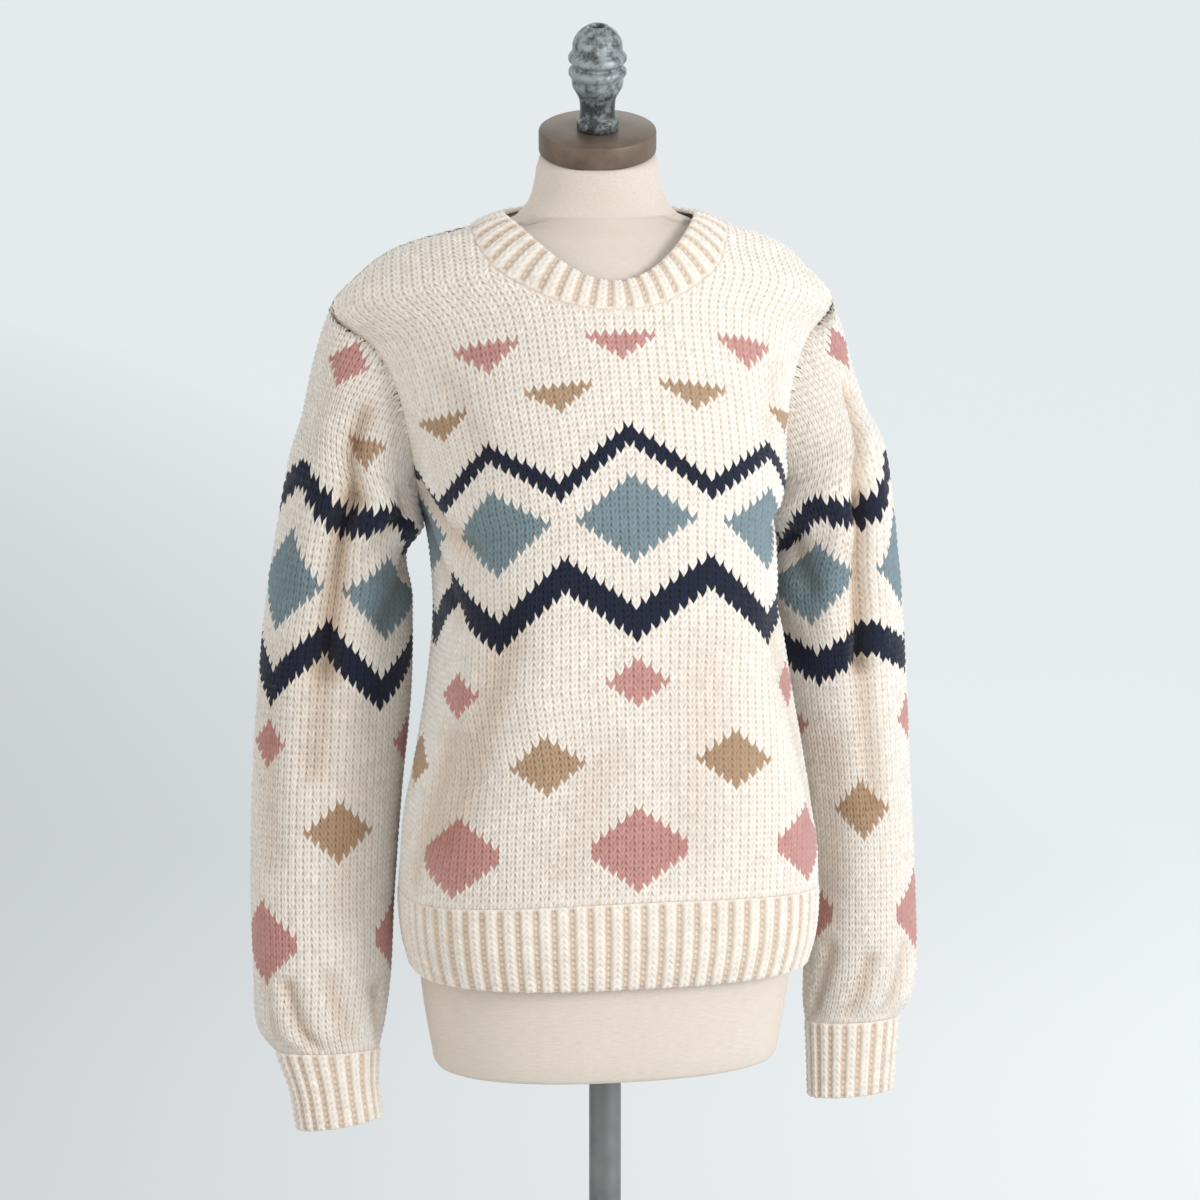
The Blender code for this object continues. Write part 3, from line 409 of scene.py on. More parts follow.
def cuff_surface(side):
    table = CUFFS[side]
    sign = -1.0 if side == "right" else 1.0
    turn = np.radians(np.linspace(-180, 180, 145))
    swing = (1 - np.cos(turn)) / 2
    rows = []
    for down in np.linspace(0, table.key[-1], 35):
        reach = np.where(turn < 0, table.at("front", down), table.at("back", down))
        x_out, x_in, z_out, z_in = (table.at(name, down) for name in ("x_out", "x_in", "z_out", "z_in"))
        rows.append(np.stack([
            sign * (x_out + (x_in - x_out) * swing),
            table.at("y_mid", down) + reach * np.sin(turn),
            z_out + (z_in - z_out) * swing,
        ], 1))
    middle = (rows[0].mean(0) + rows[-1].mean(0)) / 2
    return Surface(-1, 1, 0, table.key[-1], rows, middle)


def neck_line(low, steps):
    turns = np.linspace(0, math.pi, steps + 1)
    across = -NECK_HALF * np.sign(np.cos(turns)) * np.abs(np.cos(turns)) ** NECK_ROUND
    return across, NECK_POINT - (NECK_POINT - low) * np.abs(np.sin(turns)) ** NECK_ROUND


def neck_seam(body, low, steps):
    across, up = neck_line(low, steps)
    return body.read(body.points, up, across / np.array([BODY.at("flat", u) for u in up]))


def band_surface(front, back):
    """The neckband from its seam to its open edge: along the front from the right, then the back."""
    near, far = neck_seam(front, FRONT_NECK_LOW, 120), neck_seam(back, BACK_NECK_LOW, 100)
    seam = np.concatenate([near[:-1], far[::-1]])
    turns = np.radians(np.concatenate([np.linspace(-180, 0, 121)[:-1], np.linspace(0, 180, 101)]))
    reach = np.abs(np.sin(turns))
    y_near = np.where(turns < 0, BAND_FRONT, BAND_BACK)
    tall = np.where(turns < 0, BAND_Z_FRONT, BAND_Z_BACK)
    edge = np.stack([
        BAND_HALF * np.cos(turns), BAND_MID + (y_near - BAND_MID) * reach,
        BAND_Z_SIDE + (tall - BAND_Z_SIDE) * reach ** DROOP,
    ], 1)
    rows = [
        seam * (1 - t) + edge * t + np.array([0, 0, BAND_BULGE * t * (1 - t)])
        for t in np.linspace(0, 1, 13)
    ]
    return Surface(0, 1, 0, 1, rows, (0, -10, 1330))


# The motif chart, in rows up from the rib and stitches from the middle: the yoke's triangles stay
# within so many stitches, and a low zigzag rises by so many rows a stitch
YOKE_HALF = 25
LOW_SLOPE = 0.55


def chart(row, stitch, bands):
    """The yarn of each stitch: diamonds and zigzags that repeat round the garment."""
    yarn = np.zeros(np.broadcast(row, stitch).shape, int)
    for kind, centre, reach, every, offset, which in bands:
        away = np.abs((stitch - offset + every / 2) % every - every / 2)
        off = np.abs(row - centre)
        where = {
            "diamond": away + off <= reach,
            "wide diamond": away + np.maximum(off - 1, 0) <= reach,
            "triangle": (away + (centre - row) <= reach) & (row <= centre) & (np.abs(stitch) < YOKE_HALF),
            "zigzag": np.abs(row - (centre + away)) <= reach,
            "low zigzag": np.abs(row - np.round(centre + LOW_SLOPE * away)) <= reach,
        }[kind]
        yarn[np.broadcast_to(where, yarn.shape)] = which
    return yarn


BODY_CHART = (
    ("wide diamond", 8, 5, 22, 0, PINK_YARN),
    ("diamond", 22, 4, 22, 11, TAN_YARN),
    ("diamond", 34, 3, 22, 0, PINK_YARN),
    ("zigzag", 43, 2, 16, 0, NAVY_YARN),
    ("diamond", 59, 6, 16, 0, BLUE_YARN),
    ("zigzag", 64, 1, 16, 8, NAVY_YARN),
    ("triangle", 80, 3, 14, 7, TAN_YARN),
    ("triangle", 88, 3, 14, 0, PINK_YARN),
)
SLEEVE_BANDS = (
    ("wide diamond", 18, 5, 22, -4, PINK_YARN),
    ("diamond", 35, 4, 22, -15, TAN_YARN),
    ("diamond", 48, 3, 22, -4, PINK_YARN),
    ("diamond", 71, 6, 16, -4, BLUE_YARN),
)
SLEEVE_CHARTS = {
    "right": SLEEVE_BANDS + (
        ("zigzag", 56, 2, 16, -4, NAVY_YARN),
        ("low zigzag", 79, 1, 16, -12, NAVY_YARN),
        ("triangle", 91, 3, 80, -16, TAN_YARN),
        ("diamond", 101, 3, 80, -8, PINK_YARN),
    ),
    "left": SLEEVE_BANDS + (
        ("low zigzag", 57, 2, 16, -4, NAVY_YARN),
        ("low zigzag", 78, 1, 16, -12, NAVY_YARN),
        ("diamond", 101, 3, 80, -6, PINK_YARN),
    ),
}

# Where the twentieth stitch from the middle lies, to the wearer's right and left, and the last
# one, in millimetres across: the cloth is a little wider where the form fills it
BODY_HALF = 33.5
INNER = 20.0
BODY_ACROSS = np.array((
    (0, 141, 150, 251),
    (50, 140, 152, 251),
    (120, 140, 157, 251),
    (187, 160, 163, 250),
    (237, 158, 172, 250),
    (281, 152, 172, 250),
    (330, 142, 170, 254),
    (400, 157, 180, 268),
    (440, 168, 184, 280),
    (480, 175, 184, 296),
    (560, 180, 182, 304),
    (630, 186, 186, 312),
), float)
SLEEVE_WIDE = ((0, 100, 300, 462, 600), (5.9, 6.1, 6.2, 6.25, 6.6))
SLEEVE_BEYOND = ((0, 340, 395, 430, 480, 600), (0, 0, 1.25, 1.0, 0, 0))
SLEEVE_SHIFT = {
    "right": ((0, 330, 440, 500, 600), (0, 0, -11, -7, 0)),
    "left": ((0, 600), (0, 0)),
}


def body_across(stitch, up):
    """How far across the panel a stitch lies."""
    right, left, last = (np.interp(up, BODY_ACROSS[:, 0], BODY_ACROSS[:, n]) for n in (1, 2, 3))
    inner = np.where(stitch < 0, right, left)
    count = np.abs(stitch)
    beyond = np.maximum(count - INNER, 0) / (BODY_HALF - INNER)
    return np.sign(stitch) * (np.minimum(count, INNER) / INNER * inner + beyond * (last - inner))


# How far the rows rise towards the shoulders and sag by the armholes, in millimetres
SHOULDER_RISE, ARMHOLE_SAG = 6.0, 5.0


def body_rise(across, up):
    """Rows rise towards the shoulders, and sag a little by the armholes."""
    out = np.abs(across)
    high = np.minimum((out / 115.0) ** 2, 1.2) * np.interp(up, (440, 490, 560, 630), (0, 1, 1, 0))
    low = np.clip((out - 120.0) / 50.0, 0, 1) * np.interp(up, (380, 430, 445, 490), (0, 1, 1, 0))
    return SHOULDER_RISE * high - ARMHOLE_SAG * low


def fold_depth(folds, across, up):
    total = np.zeros_like(across)
    for x0, y0, x1, y1, breadth, depth in folds:
        dx, dy = x1 - x0, y1 - y0
        t = np.clip(((across - x0) * dx + (up - y0) * dy) / (dx * dx + dy * dy), 0, 1)
        away = np.hypot(across - x0 - t * dx, up - y0 - t * dy)
        total += depth * np.exp(-((away / breadth) ** 2))
    return total


# Painted shade down in a fold, darker and warmer: it falls off by this depth, to the darkest
FOLD_SHADE = 46.0
FOLD_DARKEST = 0.72
SEAM_SHADE = 0.8
INSIDE_SHADE = 0.8

# The cloth's thickness, its dip at a seam, and how far from an edge the stitches and folds run out
WALL = 3.2
SEAM_DIP = -0.45
STITCH_EDGE = 3.2
FOLD_EDGE = 24.0

# How high a stitch's yarn stands, by its four columns and three levels, and how dark its painted shade is
# there, deepest in the hollows
RELIEF = np.array((
    (-2.0, -0.75, -1.5, -0.75),
    (-1.35, 0.45, -0.85, 0.45),
    (-1.4, 0.3, -1.0, 0.3),
))
SHADE = np.array((
    (0.60, 0.92, 0.76, 0.92),
    (0.84, 1.0, 0.93, 1.0),
    (0.82, 1.0, 0.89, 1.0),
))


def knitted(name, surface, stitches, rows, across_at, limit, top, yarns, folds, rise, laps):
    """A knitted piece, stitch by stitch: four columns and three levels each, over a plain inside.

    Its side edges run past a seam and under it by the laps: up the piece, along, inwards.
    """
    levels, parts = RELIEF.shape
    columns, heights = np.arange(stitches * parts + 1), np.arange(rows * levels + 1)
    phase, level = columns % parts, heights % levels
    slant = LEG_RISE * (np.abs(phase / parts - 0.5) * 4 - 1)
    uu, vv = np.meshgrid(columns / parts - stitches / 2, heights / levels)
    up = (vv + slant[None, :]) * ROW
    up += rng.normal(0, UNEVEN_UP, up.shape)
    jog = rng.normal(0, UNEVEN_ACROSS, up.shape)
    up = np.clip(up, 0, surface.high)
    up[0], up[-1] = 0.0, surface.high
    across = across_at(uu, up)
    up[1:-1] = np.clip(up + rise(across, up), 0, surface.high)[1:-1]
    up = np.minimum(up, top(across))
    side = limit(up)
    above = np.minimum(top(across) - up, surface.high - up)
    dist = np.minimum(np.minimum(side - np.abs(across), up), above)
    edge = np.clip(dist / STITCH_EDGE, 0, 1)
    across = np.clip(across + jog * edge, -side, side)
    across[:, 0], across[:, -1] = -side[:, 0], side[:, -1]
    points, way = surface.at(up, across / np.maximum(side, 1e-6))
    for last in (-1.0, 1.0):
        at_edge = (across * last >= side - 1e-6)[..., None]
        along = points - surface.read(surface.points, up, np.full_like(up, last * 0.98))
        along /= np.maximum(np.linalg.norm(along, axis=-1, keepdims=True), 1e-6)
        past, under = (np.interp(up, laps[0], laps[n])[..., None] for n in (1, 2))
        points = points + np.where(at_edge, along * past - way * under, 0.0)
    high = RELIEF[level][:, phase] + rng.normal(0, UNEVEN_OUT, up.shape)
    rim = 1 - np.clip(dist / FOLD_EDGE, 0, 1)
    fold = fold_depth(folds, across, up) * (1 - rim ** 2)
    outer = points + way * (high * edge + SEAM_DIP * (1 - edge) + fold)[..., None]
    inner = (points + way * (fold - WALL)[..., None])[::levels, ::parts]
    # Painted shade in the stitches' hollows and along a seam
    painted_shade = SHADE[level][:, phase] * edge + SEAM_SHADE * (1 - edge)
    # Painted shade, deeper in a fold's trough
    painted_shade = painted_shade * np.clip(1 + fold / FOLD_SHADE, FOLD_DARKEST, 1.0)
    return build_cloth(name, outer, inner, yarns, painted_shade, uu, vv, levels, parts)


def build_cloth(name, outer, inner, yarns, painted_shade, uu, vv, levels, parts):
    """Join the fine outer face, the plain inner face and the rim, without doubled points."""
    tall, broad = outer.shape[:2]
    in_tall, in_broad = inner.shape[:2]
    index = np.arange(tall * broad).reshape(tall, broad)
    quads = np.stack([index[:-1, :-1], index[:-1, 1:], index[1:, 1:], index[1:, :-1]], 2).reshape(-1, 4)
    j, i = np.meshgrid(np.arange(tall - 1), np.arange(broad - 1), indexing="ij")
    stitch_rows, stitch_columns = (j // levels).ravel(), (i // parts).ravel()
    within = np.arange(in_tall * in_broad).reshape(in_tall, in_broad) + tall * broad
    back = np.stack([within[:-1, :-1], within[1:, :-1], within[1:, 1:], within[:-1, 1:]], 2).reshape(-1, 4)
    points = np.concatenate([outer.reshape(-1, 3), inner.reshape(-1, 3)])
    points = (points + np.array([0, GARMENT_Y, 0])) * MM

    def rim(run, ends, turned):
        return list(run[::-1]) + ends if turned else list(run) + ends[::-1]

    rims = []
    for n in range(in_broad - 1):
        for row, turned in ((0, True), (-1, False)):
            run = index[row, n * parts:(n + 1) * parts + 1]
            rims.append(rim(run, [within[row, n], within[row, n + 1]], turned))
    for n in range(in_tall - 1):
        for column, turned in ((0, False), (-1, True)):
            run = index[n * levels:(n + 1) * levels + 1, column]
            rims.append(rim(run, [within[n, column], within[n + 1, column]], turned))
    keys = np.round(points * 1e5).astype(np.int64)
    _, first, merged = np.unique(keys, axis=0, return_index=True, return_inverse=True)
    merged = merged.reshape(-1)
    cream = YARNS[CREAM_YARN]
    colours = YARNS[yarns[stitch_rows, stitch_columns]]
    wobble = 1 + rng.normal(0, UNEVEN_TONE, yarns.shape)
    colours = colours * wobble[stitch_rows, stitch_columns][:, None]
    shades = painted_shade.reshape(-1)
    faces, face_colours, face_uvs = [], [], []
    flat_u, flat_v = uu.reshape(-1), vv.reshape(-1)

    def add(corners, colour, shaded):
        kept = []
        for c in corners:
            if not kept or merged[c] != merged[kept[-1]]:
                kept.append(c)
        while len(kept) > 1 and merged[kept[0]] == merged[kept[-1]]:
            kept.pop()
        if len(kept) < 3 or len({int(merged[c]) for c in kept}) < len(kept):
            return
        faces.append([int(merged[c]) for c in kept])
        for c in kept:
            factor = shades[c] if shaded and c < len(shades) else INSIDE_SHADE
            face_colours.append(warm_painted_shade(colour, factor))
            face_uvs.append((flat_u[c], flat_v[c]) if c < len(flat_u) else (0.0, 0.0))

    joined = merged[quads]
    whole = np.ones(len(quads), bool)
    for one, two in ((0, 1), (1, 2), (2, 3), (3, 0), (0, 2), (1, 3)):
        whole &= joined[:, one] != joined[:, two]
    for q in np.nonzero(~whole)[0]:
        add(quads[q], colours[q], True)
    for corners in list(back) + rims:
        add([int(c) for c in corners], cream, False)
    good = quads[whole]
    good_colours = warm_painted_shade(colours[whole][:, None, :], shades[good][..., None])
    mesh = bpy.data.meshes.new(name)
    mesh.from_pydata(points[first], [], joined[whole].tolist() + faces)
    # The yarn's colour with painted shade in its hollows, at its seams and in any folds, at each corner
    paint = mesh.color_attributes.new("yarn", "FLOAT_COLOR", "CORNER")
    values = np.concatenate([good_colours.reshape(-1, 3), np.array(face_colours).reshape(-1, 3)])
    paint.data.foreach_set("color", np.concatenate([values, np.ones((len(values), 1))], 1).ravel())
    layer = mesh.uv_layers.new(name="stitches")
    plan = np.stack([flat_u[good], flat_v[good]], 2).reshape(-1, 2)
    layer.data.foreach_set("uv", np.concatenate([plan, np.array(face_uvs).reshape(-1, 2)]).ravel())
    mesh.validate()
    mesh.update()
    mesh.shade_smooth()
    mesh.materials.append(wool)
    return link_object(name, mesh)


def warm_painted_shade(colour, factor):
    """Painted shade on a yarn's colour, as in its hollows: darker, and warmer."""
    factor = np.asarray(factor, float)
    if factor.ndim == 0:
        factor = factor[None]
    return np.asarray(colour) * np.concatenate([factor, factor ** 1.5, factor ** 2.0], -1)


# Ribs: a knit stitch stands up and a purl stitch lies back, eight columns to the pair
RIB_RELIEF = np.array((
    (-1.5, 0.15, -0.45, 0.15, -1.5, -2.0, -1.5, -2.0),
    (-1.0, 1.35, 0.30, 1.35, -1.0, -1.5, -0.8, -1.5),
    (-1.1, 1.10, 0.05, 1.10, -1.1, -2.4, -2.1, -2.4),
))
RIB_SHADE = np.array((
    (0.72, 0.93, 0.82, 0.93, 0.72, 0.68, 0.76, 0.68),
    (0.80, 0.98, 0.90, 0.98, 0.80, 0.74, 0.84, 0.74),
    (0.78, 0.97, 0.87, 0.97, 0.78, 0.62, 0.66, 0.62),
))
RIB_PLACES = np.array((0.0, 0.16, 0.32, 0.48, 0.64, 0.73, 0.82, 0.91))

# In rows: how far a leg slants, how unevenly it lies, and how much shorter a purl column ends
RIB_SLANT, RIB_UNEVEN, PURL_SHORT = 0.5, 0.03, 0.3
RIB_SEAM_SHADE = 0.88
EDGE_ROLL = 1.1


def ribbed(name, surface, pairs, rows, closed):
    """A ribbed band: pairs of knit and purl columns, from the seam to the open edge."""
    levels, parts = RIB_RELIEF.shape
    columns, heights = np.arange(pairs * parts + 1), np.arange(rows * levels + 1)
    phase, level = columns % parts, heights % levels
    share = (columns // parts + RIB_PLACES[phase]) / pairs
    share = surface.first + (surface.last - surface.first) * share
    slant = np.where(phase < 5, np.abs(phase - 2) - 1.0, 0.0) * RIB_SLANT / rows
    ss, vv = np.meshgrid(share, heights / (rows * levels))
    inside = np.minimum(vv, 1 - vv) * rows
    free = np.clip(inside / 0.6, 0, 1)
    vv = np.clip(vv + slant[None, :] * free, 0, 1)
    vv += rng.normal(0, RIB_UNEVEN / rows, vv.shape) * free
    vv -= np.where(phase > 4, PURL_SHORT, 0.0)[None, :] / rows * np.clip((vv - 1) * rows + 1, 0, 1)
    if closed:
        vv[:, -1] = vv[:, 0]
    points, way = surface.at(surface.low + (surface.high - surface.low) * vv, ss)
    if closed:
        way[:, 0] = way[:, -1] = way[:, 0] + way[:, -1]
        way /= np.linalg.norm(way, axis=-1, keepdims=True)
        points[:, -1] = points[:, 0]
    high = RIB_RELIEF[level][:, phase] + rng.normal(0, UNEVEN_OUT, vv.shape)
    if closed:
        high[:, -1] = high[:, 0]
    from_seam = np.clip(vv * rows / 0.5, 0, 1)
    from_edge = np.clip((1 - vv) * rows / 0.7, 0, 1)
    lift = (high * from_seam + SEAM_DIP * (1 - from_seam)) - EDGE_ROLL * (1 - from_edge) ** 2
    outer = points + way * lift[..., None]
    inner = (points - way * WALL)[::levels, ::parts]
    # Painted shade, deepest in the purl gutters and at the seam
    painted_shade = RIB_SHADE[level][:, phase] * from_seam + RIB_SEAM_SHADE * (1 - from_seam)
    uu = np.broadcast_to(columns / parts * 2, vv.shape)
    yarns = np.zeros((rows, pairs), int)
    return build_cloth(name, outer, inner, yarns, painted_shade, uu, vv * rows, levels, parts)


class Paint:
    """A material and its shader, with short ways to set sockets, add nodes and join them."""

    def __init__(self, name):
        self.material = bpy.data.materials.new(name)
        self.material.use_nodes = True
        self.shader = self.material.node_tree.nodes["Principled BSDF"]

    def set(self, node, **values):
        """Values by the sockets' names, with an underscore for a space."""
        for socket, value in values.items():
            node.inputs[socket.replace("_", " ")].default_value = value

    def node(self, kind, **values):
        node = self.material.node_tree.nodes.new("ShaderNode" + kind)
        self.set(node, **values)
        return node

    def join(self, output, node, socket):
        self.material.node_tree.links.new(output, node.inputs[socket])

    def spots(self):
        return self.node("TexCoord").outputs["Object"]

    def attribute(self, name):
        node = self.node("Attribute")
        node.attribute_name = name
        return node

    def noise(self, spots, scale, detail, **values):
        node = self.node("TexNoise", Scale=scale, Detail=detail, **values)
        self.join(spots, node, "Vector")
        return node.outputs["Fac"]

    def between(self, value, low, high):
        node = self.node("MapRange", To_Min=low, To_Max=high)
        self.join(value, node, "Value")
        return node.outputs["Result"]

    def reckon(self, operation, *inputs):
        """One sum, of numbers and other nodes' outputs."""
        node = self.node("Math")
        node.operation = operation
        for place, value in enumerate(inputs):
            if isinstance(value, float):
                node.inputs[place].default_value = value
            else:
                self.join(value, node, place)
        return node.outputs["Value"]

    def tone(self, value, low, dark, high, light):
        """The base colour, from one at the low value to the other at the high one."""
        node = self.node("ValToRGB")
        for n, (position, colour) in enumerate(((low, dark), (high, light))):
            node.color_ramp.elements[n].position = position
            node.color_ramp.elements[n].color = (*colour, 1.0)
        self.join(value, node, "Fac")
        self.join(node.outputs["Color"], self.shader, "Base Color")

    def bump(self, height, strength, distance):
        node = self.node("Bump", Strength=strength, Distance=distance)
        self.join(height, node, "Height")
        self.join(node.outputs["Normal"], self.shader, "Normal")


def wool_material():
    """Soft plied wool: the yarn's colour with its painted shade, broken a little, with fibres and a pale
    bloom.
    """
    knit = Paint("wool_knit")
    knit.set(knit.shader, Roughness=0.92, Specular_IOR_Level=0.18, Sheen_Weight=0.22, Sheen_Roughness=0.55)
    spots = knit.spots()
    tinted = knit.node("VectorMath")
    tinted.operation = "SCALE"
    knit.join(knit.attribute("yarn").outputs["Color"], tinted, 0)
    knit.join(knit.between(knit.noise(spots, 260.0, 4.0), 0.90, 1.10), tinted, "Scale")
    knit.join(tinted.outputs["Vector"], knit.shader, "Base Color")
    knit.bump(knit.noise(spots, 1500.0, 5.0, Roughness=0.7), 0.35, 0.0006)
    return knit.material


wool = wool_material()


def neck_top(low):
    line_across, line_up = neck_line(low, 200)

    def top(across):
        return np.where(np.abs(across) < NECK_HALF, np.interp(across, line_across, line_up), NECK_POINT)

    return top


def flat_limit(table, high):
    ups = np.linspace(0, high, 400)
    flats = np.array([table.at("flat", up) for up in ups])
    return lambda up: np.interp(up, ups, flats)


# At the armhole and shoulder the body laps over, and the sleeve's cap runs in under it: up the
# piece, how far past the seam, and how far inwards
BODY_LAPS = (
    (0, UNDERARM, UNDERARM + 14, SHOULDER_END, SHOULDER_END + 8, NECK_POINT),
    (0, 0, 1.0, 1.4, 2.4, 2.0),
    (0, 0, -0.2, 0.3, 0.3, 0.3),
)
SLEEVE_LAPS = (
    (0, CAP, CAP + 14, 520, 560, CAP_TOP),
    (0, 0, 1.8, 2.4, 5.0, 5.0),
    (0, 0, 0.1, -0.4, -1.3, -1.3),
)


def body_piece(panel, surface):
    rows = int(round(NECK_POINT / ROW))
    stitches, low = (67, FRONT_NECK_LOW) if panel == "front" else (65, BACK_NECK_LOW)
    columns = np.arange(stitches) - stitches // 2
    yarns = chart(np.arange(rows)[:, None], columns[None, :], BODY_CHART)
    return knitted(
        panel + "_knit", surface, stitches, rows, body_across,
        flat_limit(BODY, NECK_POINT), neck_top(low), yarns, FOLDS[panel], body_rise, BODY_LAPS,
    )


def sleeve_piece(side, surface):
    stitches, rows = 67, int(round(CAP_TOP / ROW))
    columns = np.arange(stitches) - stitches // 2
    yarns = chart(np.arange(rows)[:, None], columns[None, :], SLEEVE_CHARTS[side])
    shift = SLEEVE_SHIFT[side]

    def across_at(stitch, up):
        inner = np.minimum(stitch + 14, 0) * np.interp(up, *SLEEVE_BEYOND)
        return stitch * np.interp(up, *SLEEVE_WIDE) + inner + np.interp(up, *shift)

    return knitted(
        "sleeve_%s_knit" % side, surface, stitches, rows, across_at,
        flat_limit(SLEEVES[side], CAP_TOP), lambda across: np.full_like(across, CAP_TOP),
        yarns, FOLDS["sleeve_" + side], lambda across, up: 0.0, SLEEVE_LAPS,
    )


body_surfaces = {panel: body_surface(panel) for panel in ("front", "back")}
for panel, surface in body_surfaces.items():
    piece = body_piece(panel, surface)
    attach(piece, "root")
    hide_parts(panel)
    hem = ribbed("hem_%s_rib" % panel, hem_surface(panel, surface), 33, 14, False)
    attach(hem, "root")
    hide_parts("hem_" + panel)
for side in SLEEVES:
    piece = sleeve_piece(side, sleeve_surface(side))
    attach(piece, "root")
    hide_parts("sleeve_" + side)
    cuff = ribbed("cuff_%s_rib" % side, cuff_surface(side), 19, 12, True)
    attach(cuff, "root")
    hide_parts("cuff_" + side)
band = ribbed("neckband_rib", band_surface(body_surfaces["front"], body_surfaces["back"]), 41, 6, True)
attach(band, "root")
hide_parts("neckband")


# The form's own sections, below the bust and at its neck, and how far it stays inside the cloth
FORM_BELOW = Table("z half y_front y_side y_back sq", (
    (700, 150, -128, -34, 66, 2.3),
    (760, 160, -140, -35, 70, 2.3),
    (850, 166, -148, -36, 72, 2.3),
    (940, 160, -142, -34, 72, 2.3),
    (1020, 136, -122, -28, 66, 2.2),
    (1090, 122, -116, -20, 64, 2.2),
    (1140, 130, -134, -10, 76, 2.2),
))
FORM_NECK = Table("z half y_front y_side y_back sq", (
    (1436, 70, -46, 0, 44, 2.0),
    (1447, 60, -46, 0, 44, 2.0),
    (1462, 55, -48, -1, 44, 2.0),
    (1486, 52, -51, -3, 46, 2.0),
))
FORM_EASE = Table("up side middle", (
    (320, 18, 9),
    (400, 18, 11),
    (480, 17, 12),
    (540, 10, 10),
    (570, 7.6, 9),
    (603, 6.8, 8.4),
    (630, 8.0, 8.4),
))
FORM_PLATE = 176.0
FORM_SIDES = 96
FORM_RISE = 0.12
FORM_GIRTH = 0.9
CAP_TILT = 17.0
CAP_TURN = -12.0
CAP_Y = -2.0
CAP_FOOT = 1490.0
NECK_TOP = 0.94


def whole_ring(half, y_front, y_side, y_back, sq_front, sq_back):
    turns = np.linspace(0, 360, FORM_SIDES, endpoint=False)
    x_front, front = section(half, y_front, y_side, sq_front, turns)
    x_back, back = section(half, y_back, y_side, sq_back, turns)
    near = np.cos(np.radians(turns)) > 0
    x = np.where(near, x_front, x_back) * np.sign(np.sin(np.radians(turns)))
    return x, np.where(near, y_side - front, y_side + back)


def form_level(table, z, shrink=0.0):
    half, y_front, y_side, y_back, sq = (table.at(name, z) for name in table.names[1:])
    x, y = whole_ring(half - shrink, y_front + shrink, y_side, y_back - shrink, sq, sq)
    return np.stack([x, y, np.full(FORM_SIDES, float(z))], 1)


def form_chest(up):
    """A ring of the form under the cloth, and outside its own neck."""
    names = ("half", "y_front", "y_side", "y_back", "sq_front", "sq_back")
    half, y_front, y_side, y_back, sq_front, sq_back = (BODY.at(name, up) for name in names)
    x, y = whole_ring(half, y_front, y_side, y_back, sq_front, sq_back)
    turns = np.radians(np.linspace(0, 360, FORM_SIDES, endpoint=False))
    near = np.where(np.cos(turns) > 0, BODY.at("z_front", up), BODY.at("z_back", up))
    z_side = BODY.at("z_side", up)
    z = z_side + (near - z_side) * (1 - (np.abs(x) / half) ** DROOP)
    side = np.sin(turns) ** 2
    ease = FORM_EASE.at("middle", up) * (1 - side) + FORM_EASE.at("side", up) * side
    steep = np.interp(up, (320, 480, 560, 630), (0.15, 0.45, 0.75, 0.85))
    flat = np.sqrt(1 - steep ** 2)
    away = np.hypot(x, y - y_side)
    x, y = x * (1 - ease * flat / away), y_side + (y - y_side) * (1 - ease * flat / away)
    z = z - ease * steep
    x = np.clip(x + BODY.at("x_mid", up), -FORM_PLATE, FORM_PLATE)
    foot = FORM_NECK.key[0]
    reach = np.where(y < 0, -FORM_NECK.at("y_front", foot), FORM_NECK.at("y_back", foot))
    spread = np.maximum(np.hypot(x / FORM_NECK.at("half", foot), y / reach), 1e-3)
    inside = spread < 1
    z = np.where(inside, np.minimum(z, foot - FORM_RISE * (NECK_POINT - up)), z)
    return np.stack([np.where(inside, x / spread, x), np.where(inside, y / spread, y), z], 1)


def form_seat():
    """The neck's top, cut to the cap's slope."""
    ring = form_level(FORM_NECK, FORM_NECK.key[-1])
    x, y = ring[:, 0] * NECK_TOP, (ring[:, 1] - CAP_Y) * NECK_TOP
    turn = math.radians(CAP_TURN)
    rise = math.tan(math.radians(CAP_TILT)) * (y * math.cos(turn) - x * math.sin(turn))
    return np.stack([x, y + CAP_Y, CAP_FOOT - 0.4 + rise], 1)


def linen_form():
    rings = [form_level(FORM_BELOW, z, shrink) for z, shrink in ((700, 5.0), (701.5, 1.6), (705, 0.0))]
    rings += [form_level(FORM_BELOW, z) for z in np.linspace(722, 1140, 26)]
    rings += [form_chest(up) for up in np.linspace(325, 628, 34)]
    rings += [form_level(FORM_NECK, z) for z in np.linspace(1436, 1476, 8)]
    rings.append(form_seat())
    points = (np.concatenate(rings) + np.array([0, GARMENT_Y, 0])) * MM
    faces, plan = [], []
    heights = np.cumsum([0.0] + [float(np.abs(b - a).max(0).sum()) for a, b in zip(rings, rings[1:])]) * MM
    girth = FORM_GIRTH / FORM_SIDES
    for j in range(len(rings) - 1):
        for i in range(FORM_SIDES):
            k = (i + 1) % FORM_SIDES
            low, high = j * FORM_SIDES, (j + 1) * FORM_SIDES
            faces.append((low + i, low + k, high + k, high + i))
            plan += [((i + a) * girth, heights[j + b]) for a, b in ((0, 0), (1, 0), (1, 1), (0, 1))]
    faces.append(tuple(range(FORM_SIDES))[::-1])
    faces.append(tuple(range((len(rings) - 1) * FORM_SIDES, len(rings) * FORM_SIDES)))
    plan += [(points[v][0], points[v][1]) for face in faces[-2:] for v in face]
    mesh = bpy.data.meshes.new("linen_form")
    mesh.from_pydata(points.tolist(), [], faces)
    layer = mesh.uv_layers.new(name="weave")
    layer.data.foreach_set("uv", np.array(plan).ravel())
    shape = bmesh.new()
    shape.from_mesh(mesh)
    bmesh.ops.recalc_face_normals(shape, faces=shape.faces)
    shape.to_mesh(mesh)
    shape.free()
    mesh.shade_smooth()
    return link_object("linen_form", mesh)


